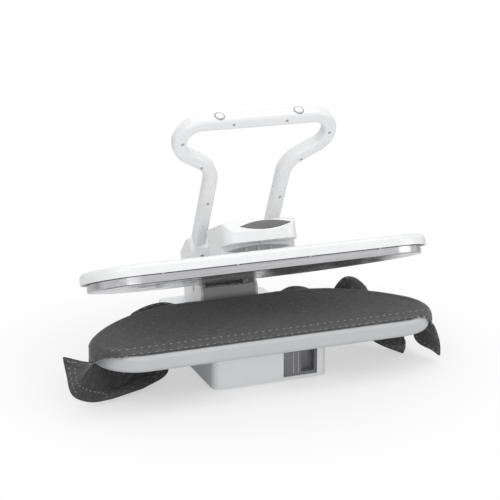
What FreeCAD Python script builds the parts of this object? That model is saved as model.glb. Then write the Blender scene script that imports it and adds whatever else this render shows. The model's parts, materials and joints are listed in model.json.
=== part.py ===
"""Steam ironing press with a hinged heated platen over a padded board.

Millimetres, X to the right, Y to the rear, Z up. The origin lies on the floor under the middle of the board.
The platen side is drawn shut and then swung open about the hinge pin: the rest pose is the open press.
"""
import FreeCAD
import Part
import math
import os
from FreeCAD import Vector

# Base box
BASE_WIDTH = 226.0
BASE_FRONT_Y = -72.0
BASE_DEPTH = 334.0
BASE_TOP = 75.0
BASE_CORNER = 14.0
WALL = 3.0
FOOT_HEIGHT = 3.0
FOOT_RADIUS = 10.0
FOOT_SIDE = 27.0
GLAND_OUT = 8.0
GLAND_SIDE = 29.0
GLAND_Z = 34.0
FOOT_INSET = 24.0
SHEET = 1.5
BOSS_RADIUS = 5.0
BOSS_INSET = 12.0
TRAY_SCREW_SIDE = 11.0
CIRCUIT_SIDE = 13.0

# Water tank in the right half of the base
TANK_SIDE = 20.8
TANK_WIDTH = 67.0
TANK_HEIGHT = 61.0
TANK_LENGTH = 148.0
TANK_BOTTOM = 8.0
TANK_SETBACK = 2.0
TANK_WALL = 2.0
GRIP_WIDTH = 26.0
GRIP_HEIGHT = 46.0
GRIP_DEPTH = 14.0
CAP_RADIUS = 14.0
CAP_POCKET = 11.0
NOZZLE_RADIUS = 5.0

# Board
BOARD_LENGTH = 660.0
BOARD_DEPTH = 249.0
FRONT_CORNER = 82.0
REAR_SWEEP = 261.0
BOARD_HEIGHT = 32.3
LEDGE_DROP = 8.8
LEDGE_WIDTH = 9.0
RIM_WIDTH = 11.0
RIM_ROUND = 9.0
PAD_INSET = 13.0
PAD_HEIGHT = 7.0
COVER_CLOTH = 1.0
CLOTH = 1.6
CLOTH_INSET = 5.0

# Column and hinge
COLUMN_WIDTH = 119.0
COLUMN_FRONT_Y = 146.0
COLUMN_DEPTH = 103.0
COLUMN_TOP = 130.0
COLUMN_CORNER = 20.0
CHEEK = 5.0
PANEL = 2.5
PANEL_TOP = 124.0
HINGE_Y = 191.0
HINGE_Z = 110.0
OPEN_ANGLE = 22.3
PIN_RADIUS = 6.0
ARM_X = 43.0
ARM_THICK = 6.0
ARM_FRONT_Y = 30.0
EYE_RADIUS = 16.0
BUSH_WALL = 3.0
SPRING_WIRE = 1.5
SPRING_PITCH = 4.2
SPRING_TURNS = 5.0

# Heated platen and its cover, drawn shut
SOLE_Z = 112.5
PLATEN_GROW = -4.0
PLATEN_HEIGHT = 14.0
SOLE_THICK = 8.0
RIM_THICK = 8.0
STEAM_HOLE_RADIUS = 1.6
STEAM_ROWS = 3
STEAM_COLUMNS = 13
STEAM_EDGE_X = 19.0
STEAM_EDGE_Y = 26.0
PAN_SIDE = 95.0
PAN_FRONT = 54.5
PAN_MID_Y = -10.0
PAN_HEIGHT = 4.0
GASKET = 1.0
COVER_GROW = 7.0
PLATE_MID_Y = 10.0
COVER_HEIGHT = 21.0
COVER_ROUND = 11.0
ELEMENT_RADIUS = 2.5
ELEMENT_CLEAR = 3.5
ELEMENT_REACH = 27.0
ELEMENT_TURN = 50.0
STUD_RADIUS = 3.0
NUT_HEIGHT = 3.5

# Control pod on the cover
POD_WIDTH = 146.0
POD_FRONT_Y = -78.0
POD_STRIP_Y = -42.0
POD_REAR_Y = 46.0
POD_HEIGHT = 59.5
POD_LIP_BOTTOM = 18.0
POD_LIP_TOP = 39.0
POD_SLOPE_DEPTH = 15.0
POD_CORNER = 26.0
POD_ROUND = 5.0
POD_WALL = 2.5
WINDOW_HALF = 50.0
WINDOW_SHIFT = 10.0
WINDOW_RISE = 10.5
WINDOW_THICK = 2.0
STRIP_HALF = 62.0
STRIP_RISE = 6.5
STRIP_THICK = 2.0
KEY_COUNT = 3
KEY_PITCH = 24.0
KEY_RADIUS = 3.8
KEY_TRAVEL = 1.2

# Loop handle, drawn in its own leaning plane
HANDLE_LEAN = 26.8
HANDLE_AHEAD = 6.8
HANDLE_WIDE = 24.5
HANDLE_DEEP = 26.0
HANDLE_ROUND = 7.0
HANDLE_WALL = 2.5
LEG_X = 72.0
LEG_START = 100.0
SWAY_RADIUS = 53.0
SHOULDER_X = 107.0
SHOULDER_RADIUS = 38.0
DIAGONAL = 32.0
BAR_T = 424.0
CORE_WIDE = 9.0
CORE_DEEP = 4.0
CORE_BACK = 7.3
BUTTON_X = 76.0
BUTTON_RADIUS = 7.4
BUTTON_TRAVEL = 2.5
BEZEL_RADIUS = 10.0

# Handle feet on the cover
HUB_INNER_X = 53.0
HUB_OUTER_X = 92.0
HUB_FRONT_Y = 70.0
HUB_TOP = 54.0

# Fits
RUNNING = 0.04
SLIP = 0.15
GAP = 0.3
HOSE_GAP = 0.85
SCREW_RADIUS = 1.5
SCREW_HEAD = 2.9

# Heights and places that follow from the sizes above
BASE_MID_Y = BASE_FRONT_Y + BASE_DEPTH / 2
FOOT_X = BASE_WIDTH / 2 - FOOT_SIDE
TANK_MID_X = BASE_WIDTH / 2 - TANK_SIDE - TANK_WIDTH / 2
PAN_LENGTH = BOARD_LENGTH - 2 * PAN_SIDE
PAN_DEPTH = BOARD_DEPTH - 2 * PAN_FRONT
STEAM_PITCH_X = (PAN_LENGTH - 2 * STEAM_EDGE_X) / (STEAM_COLUMNS - 1)
STEAM_PITCH_Y = (PAN_DEPTH - 2 * STEAM_EDGE_Y) / (STEAM_ROWS - 1)
BASE_REAR_Y = BASE_FRONT_Y + BASE_DEPTH
FLOOR_TOP = FOOT_HEIGHT + SHEET
RIM_Z = BASE_TOP + BOARD_HEIGHT
LEDGE_Z = RIM_Z - LEDGE_DROP
PAD_Z = LEDGE_Z + SHEET
PAD_TOP = PAD_Z + PAD_HEIGHT
CLOTH_Z = PAD_TOP + COVER_CLOTH
COLUMN_REAR_Y = COLUMN_FRONT_Y + COLUMN_DEPTH
CHEEK_IN_X = COLUMN_WIDTH / 2 - CHEEK
SPRING_RADIUS = PIN_RADIUS + GAP + SPRING_WIRE
PLATEN_TOP = SOLE_Z + PLATEN_HEIGHT
FLOOR_MID_Y = (BASE_REAR_Y + GLAND_OUT - BOARD_DEPTH / 2) / 2
COVER_REAR_Y = PLATE_MID_Y + BOARD_DEPTH / 2 + COVER_GROW
TIP_X = BOARD_LENGTH / 2
TIP_Y = FRONT_CORNER - BOARD_DEPTH / 2
SOLE_TOP = SOLE_Z + SOLE_THICK
CARRIER_Z = PLATEN_TOP + GASKET
CARRIER_TOP = CARRIER_Z + SHEET
COVER_Z = CARRIER_Z
COVER_TOP = COVER_Z + COVER_HEIGHT
COVER_IN_TOP = COVER_TOP - WALL
FRAME_Z = COVER_IN_TOP - 2.0
TANK_FRONT_Y = BASE_FRONT_Y + TANK_SETBACK
TANK_REAR_Y = TANK_FRONT_Y + TANK_LENGTH
TANK_TOP = TANK_BOTTOM + TANK_HEIGHT
BAY_WALL = 2.0
BAY_REAR_Y = TANK_REAR_Y + WALL


def box(x0, x1, y0, y1, z0, z1):
    """Block between two corners."""
    return Part.makeBox(x1 - x0, y1 - y0, z1 - z0, Vector(x0, y0, z0))


def rod(x, y, z, radius, height, axis=(0, 0, 1)):
    """Round bar from a point along an axis."""
    return Part.makeCylinder(radius, height, Vector(x, y, z), Vector(*axis))


def rounded_wire(length, depth, corner, z, y_mid=0.0, x_mid=0.0):
    """Rectangle with round corners, lying flat."""
    hx = length / 2
    hy = depth / 2
    edges = []
    turns = [(1, 1, 0), (-1, 1, 90), (-1, -1, 180), (1, -1, 270)]
    last = None
    for sx, sy, start in turns:
        centre = Vector(x_mid + sx * (hx - corner), y_mid + sy * (hy - corner), z)
        circle = Part.Circle(centre, Vector(0, 0, 1), corner)
        arc = Part.Arc(circle, math.radians(start), math.radians(start + 90))
        edge = arc.toShape()
        if last is not None:
            edges.append(Part.makeLine(last, edge.Vertexes[0].Point))
        edges.append(edge)
        last = edge.Vertexes[-1].Point
    edges.append(Part.makeLine(last, edges[0].Vertexes[0].Point))
    return Part.Wire(edges)


def boat_wire(grow, z, mid):
    """Plan of the board, grown all round: straight front, tight front corners and long swept rear corners."""
    rear = REAR_SWEEP + grow
    front = FRONT_CORNER + grow
    rise = REAR_SWEEP + FRONT_CORNER - BOARD_DEPTH
    run = math.sqrt((REAR_SWEEP - FRONT_CORNER) ** 2 - rise ** 2)
    meet = math.atan2(rise, run)
    front_x = BOARD_LENGTH / 2 - FRONT_CORNER
    rear_x = front_x - run
    rear_y = mid + BOARD_DEPTH / 2 - REAR_SWEEP
    front_y = mid + TIP_Y
    corners = []
    for centre_x, centre_y, radius, start, end in ((front_x, front_y, front, -math.pi / 2, meet),
                                                   (rear_x, rear_y, rear, meet, math.pi / 2)):
        turns = (start, (start + end) / 2, end)
        corners.append([Vector(centre_x + radius * math.cos(a), centre_y + radius * math.sin(a), z)
                        for a in turns])
    right = [Part.Arc(*points).toShape() for points in corners]
    turned = [[Vector(-p.x, p.y, z) for p in reversed(points)] for points in reversed(corners)]
    left = [Part.Arc(*points).toShape() for points in turned]
    rear_line = Part.makeLine(corners[1][2], turned[0][0])
    front_line = Part.makeLine(turned[1][2], corners[0][0])
    return Part.Wire(right + [rear_line] + left + [front_line])


def boat(grow, z0, z1, mid=0.0):
    """Upright prism on the plan of the board."""
    return Part.Face(boat_wire(grow, z0, mid)).extrude(Vector(0, 0, z1 - z0))


def plate_form(grow, z0, z1):
    """Upright prism on the plan of the heated plate."""
    return boat(grow, z0, z1, PLATE_MID_Y)


def slab(length, depth, corner, z0, z1, y_mid=0.0, x_mid=0.0):
    """Upright prism on a rectangle with round corners."""
    face = Part.Face(rounded_wire(length, depth, corner, z0, y_mid, x_mid))
    return face.extrude(Vector(0, 0, z1 - z0))


def edges_at(shape, z):
    """Edges that lie flat at one height."""
    found = []
    for edge in shape.Edges:
        low = edge.BoundBox.ZMin
        high = edge.BoundBox.ZMax
        if abs(low - z) < 1e-4 and abs(high - z) < 1e-4:
            found.append(edge)
    return found


def domed(length, depth, corner, z0, z1, rounding, y_mid=0.0, x_mid=0.0):
    """Prism with its top edge rounded over."""
    body = slab(length, depth, corner, z0, z1, y_mid, x_mid)
    return body.makeFillet(rounding, edges_at(body, z1))


def yz_prism(points, x0, x1):
    """Prism along X on a polygon of (y, z) points."""
    corners = [Vector(x0, y, z) for y, z in points]
    face = Part.Face(Part.makePolygon(corners + corners[:1]))
    return face.extrude(Vector(x1 - x0, 0, 0))


def fuse_all(shapes):
    """One solid from overlapping shapes."""
    body = shapes[0]
    for other in shapes[1:]:
        body = body.fuse(other)
    return body.removeSplitter()


def cut_all(body, tools):
    """Body less each tool."""
    for tool in tools:
        body = body.cut(tool)
    return body


def mirrored(shape):
    """The same shape on the other side of the middle plane."""
    return shape.mirror(Vector(0, 0, 0), Vector(1, 0, 0))


def pair(shape):
    """A shape and its mirror image as a group of two solids."""
    return Part.makeCompound([shape, mirrored(shape)])


def opened(shape):
    """Swings a shape that was drawn shut to the open rest pose."""
    turned = shape.copy()
    turned.rotate(Vector(0, HINGE_Y, HINGE_Z), Vector(1, 0, 0), -OPEN_ANGLE)
    return turned


def from_handle(shape):
    """Moves a shape from the handle's own plane (x, t, front) to its place on the open press."""
    placed = shape.copy()
    placed.translate(Vector(0, 0, HANDLE_AHEAD))
    placed.rotate(Vector(0, 0, 0), Vector(1, 0, 0), 90 + HANDLE_LEAN)
    placed.translate(Vector(0, HINGE_Y, HINGE_Z))
    return placed


def hose(points, radius):
    """Round hose through points."""
    curve = Part.BSplineCurve()
    curve.interpolate([Vector(*p) for p in points])
    path = Part.Wire(curve.toShape())
    start = curve.value(curve.FirstParameter)
    heading = curve.tangent(curve.FirstParameter)[0]
    ring = Part.Wire(Part.makeCircle(radius, start, heading))
    return path.makePipeShell([ring], True, False)


def base_posts():
    """Places of the four corner screws of the base."""
    x = BASE_WIDTH / 2 - BOSS_INSET
    return [(sx * x, y) for sx in (-1, 1) for y in (BASE_FRONT_Y + BOSS_INSET, BASE_REAR_Y - BOSS_INSET)]


def feet_places():
    """Places of the four feet."""
    return [(sx * FOOT_X, y) for sx in (-1, 1) for y in (BASE_FRONT_Y + FOOT_INSET, BASE_REAR_Y - FOOT_INSET)]


def tray_screw_places():
    """Places where the board is screwed to the base."""
    x = BASE_WIDTH / 2 - TRAY_SCREW_SIDE
    return [(sx * x, y) for sx in (-1, 1) for y in (0.0, 96.0)]


def column_screw_places():
    """Places where the cheeks are screwed to the floor plate."""
    x = CHEEK_IN_X - 8.0
    return [(sx * x, y) for sx in (-1, 1) for y in (COLUMN_FRONT_Y + 18.0, COLUMN_REAR_Y - 18.0)]


def gland_place():
    """Middle of the inlet for the mains lead in the rear wall."""
    return GLAND_SIDE - BASE_WIDTH / 2, GLAND_Z


def base_housing():
    """Shell of the base with the tank opening, the column opening and four screw bosses."""
    outer = domed(BASE_WIDTH, BASE_DEPTH, BASE_CORNER, FOOT_HEIGHT, BASE_TOP, WALL, BASE_MID_Y)
    inner = slab(BASE_WIDTH - 2 * WALL, BASE_DEPTH - 2 * WALL, BASE_CORNER - WALL, FOOT_HEIGHT,
                 BASE_TOP - WALL, BASE_MID_Y)
    shell = outer.cut(inner)
    bosses = [rod(x, y, FLOOR_TOP, BOSS_RADIUS, BASE_TOP - WALL - FLOOR_TOP + 1.0) for x, y in base_posts()]
    shell = fuse_all([shell] + bosses)
    half = COLUMN_WIDTH / 2 + GAP
    tools = [rod(x, y, FLOOR_TOP - 1.0, SCREW_RADIUS + RUNNING, 13.0) for x, y in base_posts()]
    tools.append(box(TANK_MID_X - TANK_WIDTH / 2 - GAP, TANK_MID_X + TANK_WIDTH / 2 + GAP, BASE_FRONT_Y - 1.0,
                     BASE_FRONT_Y + WALL + 1.0, TANK_BOTTOM - RUNNING, TANK_TOP + GAP))
    tools.append(box(-half, half, COLUMN_FRONT_Y - GAP, COLUMN_REAR_Y + GAP, BASE_TOP - WALL - 1.0,
                     BASE_TOP + 1.0))
    x, z = gland_place()
    tools.append(rod(x, BASE_REAR_Y - WALL - 1.0, z, 9.0 + RUNNING, WALL + 2.0, (0, 1, 0)))
    tools += [rod(x, y, BASE_TOP - WALL - 1.0, 2.5 + RUNNING, WALL + 2.0) for x, y in tray_screw_places()]
    return cut_all(shell, tools)


def base_plate():
    """Floor plate with posts for the power board."""
    inset = 2 * (WALL + GAP)
    plate = slab(BASE_WIDTH - inset, BASE_DEPTH - inset, BASE_CORNER - WALL, FOOT_HEIGHT,
                 FLOOR_TOP, BASE_MID_Y)
    posts = [rod(x, y, FLOOR_TOP - 0.5, 3.0, 8.0) for x in (-96.0, -68.0) for y in (26.0, 134.0)]
    plate = fuse_all([plate] + posts)
    tools = [rod(x, y, 0.0, SCREW_RADIUS + RUNNING, 9.0) for x, y in base_posts()]
    tools += [rod(x, y, 0.0, 3.0 + RUNNING, 9.0) for x, y in feet_places()]
    tools += [rod(x, y, 0.0, SCREW_RADIUS + RUNNING, 9.0) for x, y in column_screw_places()]
    return cut_all(plate, tools)


def rubber_feet():
    """Four pressed-in feet."""
    feet = []
    for x, y in feet_places():
        disc = rod(x, y, 0.0, FOOT_RADIUS, FOOT_HEIGHT)
        disc = disc.makeFillet(1.0, edges_at(disc, 0.0))
        stem = rod(x, y, FOOT_HEIGHT - 0.5, 3.0, SHEET + 1.0)
        barb = rod(x, y, FLOOR_TOP, 4.2, 1.2)
        feet.append(fuse_all([disc, stem, barb]))
    return Part.makeCompound(feet)


def screw(x, y, z, length, radius, head, head_height, axis):
    """Round-headed screw whose head sits just before the point and whose shank runs along the axis."""
    back = [-a * head_height for a in axis]
    top = rod(x + back[0], y + back[1], z + back[2], head, head_height, axis)
    shank = rod(x + back[0] / 2, y + back[1] / 2, z + back[2] / 2, radius, length + head_height / 2, axis)
    return fuse_all([top, shank])


def base_screws():
    """Eight screws through the floor plate into the housing and the column."""
    places = base_posts() + column_screw_places()
    length = SHEET + CHEEK - 0.5
    made = [screw(x, y, FOOT_HEIGHT, length, SCREW_RADIUS, SCREW_HEAD, 1.8, (0, 0, 1)) for x, y in places]
    return Part.makeCompound(made)


def tray_screws():
    """Four screws from inside the base up into the board."""
    made = [screw(x, y, BASE_TOP - WALL, 9.0, 2.5, 4.5, 3.0, (0, 0, 1)) for x, y in tray_screw_places()]
    return Part.makeCompound(made)


def tank_bay():
    """Sleeve behind the tank opening with the socket for the tank outlet, standing on the floor plate."""
    half = TANK_WIDTH / 2 + GAP
    front = BASE_FRONT_Y + WALL
    left = TANK_MID_X - half
    right = TANK_MID_X + half
    floor = TANK_BOTTOM - RUNNING
    roof = TANK_TOP + GAP
    outer = box(left - BAY_WALL, right + BAY_WALL, front, BAY_REAR_Y + BAY_WALL, floor - BAY_WALL,
                roof + BAY_WALL)
    inner = box(left, right, front - 1.0, BAY_REAR_Y, floor, roof)
    rails = [box(x - 3.0, x + 3.0, front + 34.0, BAY_REAR_Y, FLOOR_TOP, floor - BAY_WALL + 0.5)
             for x in (left + 8.0, right - 8.0)]
    socket = rod(TANK_MID_X, BAY_REAR_Y, nozzle_z(), 8.0, 24.0, (0, 1, 0))
    body = fuse_all([outer.cut(inner), socket] + rails)
    bore = rod(TANK_MID_X, BAY_REAR_Y - 1.0, nozzle_z(), NOZZLE_RADIUS + GAP, 18.0, (0, 1, 0))
    outlet = rod(TANK_MID_X, BAY_REAR_Y - 1.0, nozzle_z(), 4.0, 30.0, (0, 1, 0))
    return cut_all(body, [bore, outlet])


def nozzle_z():
    """Height of the tank outlet."""
    return TANK_BOTTOM + 14.0


def cap_place():
    """Middle of the filler cap on the tank."""
    return TANK_MID_X - 8.0, TANK_FRONT_Y + 52.0


def water_tank():
    """Clear tank with a finger recess in its front, a sunk filler neck and an outlet pipe."""
    left = TANK_MID_X - TANK_WIDTH / 2
    right = TANK_MID_X + TANK_WIDTH / 2
    outer = box(left, right, TANK_FRONT_Y, TANK_REAR_Y, TANK_BOTTOM, TANK_TOP)
    upright = [e for e in outer.Edges if e.BoundBox.ZLength > TANK_HEIGHT - 1.0]
    outer = outer.makeFillet(2.5, upright)
    grip_right = right - 5.0
    grip_left = grip_right - GRIP_WIDTH
    grip_low = TANK_BOTTOM + 6.0
    grip = box(grip_left, grip_right, TANK_FRONT_Y - 1.0, TANK_FRONT_Y + GRIP_DEPTH, grip_low,
               grip_low + GRIP_HEIGHT)
    keep = box(grip_left - TANK_WALL, right, TANK_FRONT_Y, TANK_FRONT_Y + GRIP_DEPTH + TANK_WALL,
               TANK_BOTTOM, TANK_TOP)
    x, y = cap_place()
    neck_z = TANK_TOP - CAP_POCKET
    neck = rod(x, y, neck_z - TANK_WALL, CAP_RADIUS + 1.0 + TANK_WALL, CAP_POCKET + TANK_WALL + 1.0)
    inner = box(left + TANK_WALL, right - TANK_WALL, TANK_FRONT_Y + TANK_WALL, TANK_REAR_Y - TANK_WALL,
                TANK_BOTTOM + TANK_WALL, TANK_TOP - TANK_WALL)
    inner = inner.cut(keep).cut(neck)
    pocket = rod(x, y, neck_z, CAP_RADIUS + 1.0, CAP_POCKET + 1.0)
    hole = rod(x, y, neck_z - TANK_WALL - 1.0, CAP_RADIUS - 4.0, TANK_WALL + 2.0)
    outlet = rod(TANK_MID_X, TANK_REAR_Y - TANK_WALL - 1.0, nozzle_z(), NOZZLE_RADIUS - 2.0, 16.0, (0, 1, 0))
    body = cut_all(outer, [inner, grip, pocket, hole])
    pipe = rod(TANK_MID_X, TANK_REAR_Y - TANK_WALL, nozzle_z(), NOZZLE_RADIUS, 14.0, (0, 1, 0))
    return fuse_all([body, pipe]).cut(outlet)


def tank_cap():
    """Filler cap with a grip bar, sunk in the tank top."""
    x, y = cap_place()
    low = TANK_TOP - CAP_POCKET
    disc = rod(x, y, low + 0.1, CAP_RADIUS, 5.0)
    plug = rod(x, y, low - TANK_WALL, CAP_RADIUS - 4.0 - RUNNING, TANK_WALL + 1.0)
    bar = box(x - CAP_RADIUS + 3.0, x + CAP_RADIUS - 3.0, y - 2.0, y + 2.0, low + 5.0, low + 6.0)
    return fuse_all([disc, plug, bar])


def pump_place():
    """Middle of the pump on the floor plate."""
    return -26.0, 30.0


def pump():
    """Pump with its foot, inlet at the rear and outlet on top."""
    x, y = pump_place()
    motor = rod(x, y, FLOOR_TOP + 22.0, 18.0, 56.0, (0, 1, 0))
    foot = box(x - 16.0, x + 16.0, y + 6.0, y + 50.0, FLOOR_TOP, FLOOR_TOP + 14.0)
    inlet = rod(x, y + 55.0, FLOOR_TOP + 22.0, 4.0, 11.0, (0, 1, 0))
    outlet = rod(x, y + 28.0, FLOOR_TOP + 38.0, 4.0, 8.0)
    return fuse_all([motor, foot, inlet, outlet])


def suction_run():
    """Hose from the tank socket to the pump."""
    x, y = pump_place()
    start = BAY_REAR_Y + 24.0
    z = nozzle_z()
    end_z = FLOOR_TOP + 22.0
    points = [(TANK_MID_X, start, z), (TANK_MID_X - 2.0, start + 6.0, z),
              (TANK_MID_X - 14.0, start + 11.0, z), (TANK_MID_X - 46.0, start + 11.0, z + 1.0),
              (x + 14.0, start + 7.0, end_z), (x + 2.0, start, end_z),
              (x, start - 4.0, end_z), (x, start - 6.0, end_z), (x, y + 66.0 + HOSE_GAP, end_z)]
    return hose(points, 4.0)


def union_place():
    """Middle of the pipe union inside the column."""
    return 0.0, COLUMN_REAR_Y - PANEL - 9.0


def feed_run():
    """Hose from the pump up the column to the union on the rear panel."""
    x, y = pump_place()
    ux, uy = union_place()
    top = FLOOR_TOP + 46.0
    points = [(x, y + 28.0, top + HOSE_GAP), (x, y + 28.0, top + 3.0), (x, y + 29.5, top + 6.0),
              (x + 3.0, y + 50.0, top + 13.0), (x + 10.0, y + 110.0, top + 13.0),
              (ux - 2.0, uy - 24.0, top + 14.0), (ux, uy - 2.0, top + 23.0), (ux, uy, top + 28.0),
              (ux, uy, top + 32.0 - HOSE_GAP)]
    return hose(points, 4.0)


def water_hoses():
    """Both hoses of the pump."""
    return Part.makeCompound([suction_run(), feed_run()])


def power_board():
    """Circuit board with its transformer and relay."""
    low = FLOOR_TOP + 7.5
    left = CIRCUIT_SIDE - BASE_WIDTH / 2
    board = box(left, left + 36.0, 20.0, 140.0, low, low + 1.6)
    transformer = box(left + 4.0, left + 30.0, 40.0, 72.0, low + 1.0, low + 28.0)
    relay = box(left + 8.0, left + 26.0, 90.0, 112.0, low + 1.0, low + 18.0)
    return fuse_all([board, transformer, relay])


def cord_gland():
    """Hollow inlet for the mains lead, clamped in the rear wall."""
    x, z = gland_place()
    body = rod(x, BASE_REAR_Y - WALL - 6.0, z, 9.0, WALL + 6.0 + GLAND_OUT, (0, 1, 0))
    flange = rod(x, BASE_REAR_Y, z, 12.0, 3.0, (0, 1, 0))
    nut = rod(x, BASE_REAR_Y - WALL - 5.0, z, 12.0, 5.0, (0, 1, 0))
    bore = rod(x, BASE_REAR_Y - WALL - 8.0, z, 4.0, WALL + 20.0, (0, 1, 0))
    return fuse_all([body, flange, nut]).cut(bore)


def board_tray():
    """Tray of the board with a rounded rim, a ledge and cross ribs under the bed plate."""
    outer = boat(0.0, BASE_TOP, RIM_Z)
    outer = outer.makeFillet(RIM_ROUND, edges_at(outer, BASE_TOP))
    outer = outer.makeFillet(RIM_ROUND, edges_at(outer, RIM_Z))
    recess = boat(-RIM_WIDTH, LEDGE_Z, RIM_Z + 1.0)
    well = boat(-RIM_WIDTH - LEDGE_WIDTH, LEDGE_Z - WALL - 1.0, LEDGE_Z + 1.0)
    low = BASE_TOP + WALL
    hollow = boat(-WALL, low + RIM_ROUND - WALL, LEDGE_Z - WALL)
    floor_step = boat(-WALL - 2.0, low + 2.0, LEDGE_Z - WALL)
    floor_round = boat(-RIM_ROUND, low, LEDGE_Z - WALL)
    shell = cut_all(outer, [recess, well, hollow, floor_step, floor_round])
    ribs = []
    for x in (-220.0, -120.0, 120.0, 220.0):
        rib = box(x - WALL / 2, x + WALL / 2, -BOARD_DEPTH, BOARD_DEPTH, BASE_TOP, LEDGE_Z)
        ribs.append(rib.common(boat(-WALL / 2, low - 0.5, LEDGE_Z)))
    shell = fuse_all([shell] + ribs)
    holes = [rod(x, y, BASE_TOP - 1.0, 2.5 + RUNNING, WALL + 2.0) for x, y in tray_screw_places()]
    return cut_all(shell, holes)


def bed_plate():
    """Sheet that lies on the ledge under the pad."""
    return boat(-RIM_WIDTH - GAP, LEDGE_Z, LEDGE_Z + SHEET)


def pad_form(grow):
    """Form of the pad, grown by the thickness of what covers it."""
    body = boat(grow - PAD_INSET, PAD_Z, PAD_TOP + grow)
    return body.makeFillet(3.0 + grow, edges_at(body, PAD_TOP + grow))


def foam_pad():
    """Foam under the board cover."""
    return pad_form(0.0)


def board_cover():
    """Fitted cloth cover over the foam."""
    return pad_form(COVER_CLOTH).cut(pad_form(0.0))


def strip_wire(points, z, side):
    """Thin arc-shaped strip through three points at one height, thickened away from the board."""
    run = Vector(points[2][0] - points[0][0], points[2][1] - points[0][1], 0)
    run.normalize()
    out = Vector(run.y, -run.x, 0) * (side * CLOTH)
    inner = [Vector(x, y, z) for x, y in points]
    outer = [p + out for p in inner]
    arc_in = Part.Arc(*inner).toShape()
    arc_out = Part.Arc(*outer).toShape()
    return Part.Wire([arc_in, Part.makeLine(inner[2], outer[2]), arc_out, Part.makeLine(outer[0], inner[0])])


def cloth_end(side, sections):
    """Hanging end of the cloth, from the board edge down to its hem, with a lap onto the flat part."""
    wires = [strip_wire([(side * x, y) for x, y in points], z, side) for points, z in sections]
    hanging = Part.makeLoft(wires, True, True)
    lap = [Vector(side * (x + CLOTH / 2), y, CLOTH_Z) for x, y in sections[0][0]]
    face = Part.Face(Part.Wire([Part.Arc(*lap).toShape(), Part.makeLine(lap[2], lap[0])]))
    return [hanging, face.extrude(Vector(0, 0, CLOTH))]


def pressing_cloth():
    """Loose cloth laid over the board with both ends hanging down and tucked under it."""
    top = boat(-CLOTH_INSET, CLOTH_Z, CLOTH_Z + CLOTH)
    brow = CLOTH_Z + CLOTH
    edge = [(294.0, -113.0), (335.0, -42.0), (278.0, 60.0)]
    out = [(366.0, -60.0), (350.0, 0.0), (292.0, 70.0)]
    left = [(edge, brow), (out, brow - 14.0),
            ([(358.0, -50.0), (344.0, 4.0), (286.0, 74.0)], 46.0),
            ([(346.0, -40.0), (296.0, 0.0), (216.0, 40.0)], FOOT_HEIGHT)]
    right = [(edge, brow), (out, brow - 34.0),
             ([(344.0, -80.0), (336.0, -20.0), (302.0, 30.0)], 12.0)]
    return fuse_all([top] + cloth_end(-1.0, left) + cloth_end(1.0, right))


def column_cheek():
    """Right side plate of the column with a bent foot and the bore for the hinge pin."""
    low = FLOOR_TOP
    outer_x = CHEEK_IN_X + CHEEK
    plate = box(CHEEK_IN_X, outer_x, COLUMN_FRONT_Y, COLUMN_REAR_Y, low, COLUMN_TOP)
    corners = [e for e in edges_at(plate, COLUMN_TOP) if e.BoundBox.XLength > CHEEK - 0.1]
    plate = plate.makeFillet(COLUMN_CORNER, corners)
    foot = box(CHEEK_IN_X - 18.0, CHEEK_IN_X + 1.0, COLUMN_FRONT_Y + 6.0, COLUMN_REAR_Y - 6.0,
               low, low + CHEEK)
    tools = [rod(CHEEK_IN_X - 1.0, HINGE_Y, HINGE_Z, PIN_RADIUS + 0.01, CHEEK + 2.0, (1, 0, 0))]
    right = [(x, y) for x, y in column_screw_places() if x > 0]
    tools += [rod(x, y, low - 1.0, SCREW_RADIUS + RUNNING, CHEEK + 0.6) for x, y in right]
    return cut_all(fuse_all([plate, foot]), tools)


def column_front_panel():
    """Dark panel between the cheeks, facing the user."""
    return box(-CHEEK_IN_X, CHEEK_IN_X, COLUMN_FRONT_Y, COLUMN_FRONT_Y + PANEL,
               BASE_TOP - 2 * WALL, PANEL_TOP)


def column_rear_panel():
    """Panel between the cheeks at the back with the union where the feed hose ends."""
    panel = box(-CHEEK_IN_X, CHEEK_IN_X, COLUMN_REAR_Y - PANEL, COLUMN_REAR_Y, BASE_TOP - 2 * WALL,
                PANEL_TOP - 4.0)
    x, y = union_place()
    low = FLOOR_TOP + 78.0
    return fuse_all([panel, box(x - 12.0, x + 12.0, y - 8.0, COLUMN_REAR_Y - 1.0, low, low + 14.0)])


def hinge_pin():
    """Pin through both cheeks, sunk a little in their bores."""
    reach = CHEEK_IN_X + CHEEK - 2.0
    return rod(-reach, HINGE_Y, HINGE_Z, PIN_RADIUS, 2 * reach, (1, 0, 0))


def ring(x0, x1, radius, bore):
    """Ring on the hinge axis."""
    body = rod(x0, HINGE_Y, HINGE_Z, radius, x1 - x0, (1, 0, 0))
    return body.cut(rod(x0 - 1.0, HINGE_Y, HINGE_Z, bore, x1 - x0 + 2.0, (1, 0, 0)))


def hinge_spacers():
    """Tubes on the pin that keep the arms between the cheeks."""
    start = ARM_X + ARM_THICK / 2 + SHEET + GAP
    return pair(ring(start, CHEEK_IN_X, PIN_RADIUS + BUSH_WALL, PIN_RADIUS + 0.01))


def hinge_bushes():
    """Flanged bushes in the eyes of the arms."""
    start = ARM_X - ARM_THICK / 2
    end = ARM_X + ARM_THICK / 2
    sleeve = ring(start, end + SHEET, PIN_RADIUS + BUSH_WALL, PIN_RADIUS + RUNNING)
    flange = ring(end, end + SHEET, EYE_RADIUS - 3.0, PIN_RADIUS + RUNNING)
    return opened(pair(fuse_all([sleeve, flange])))


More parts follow.
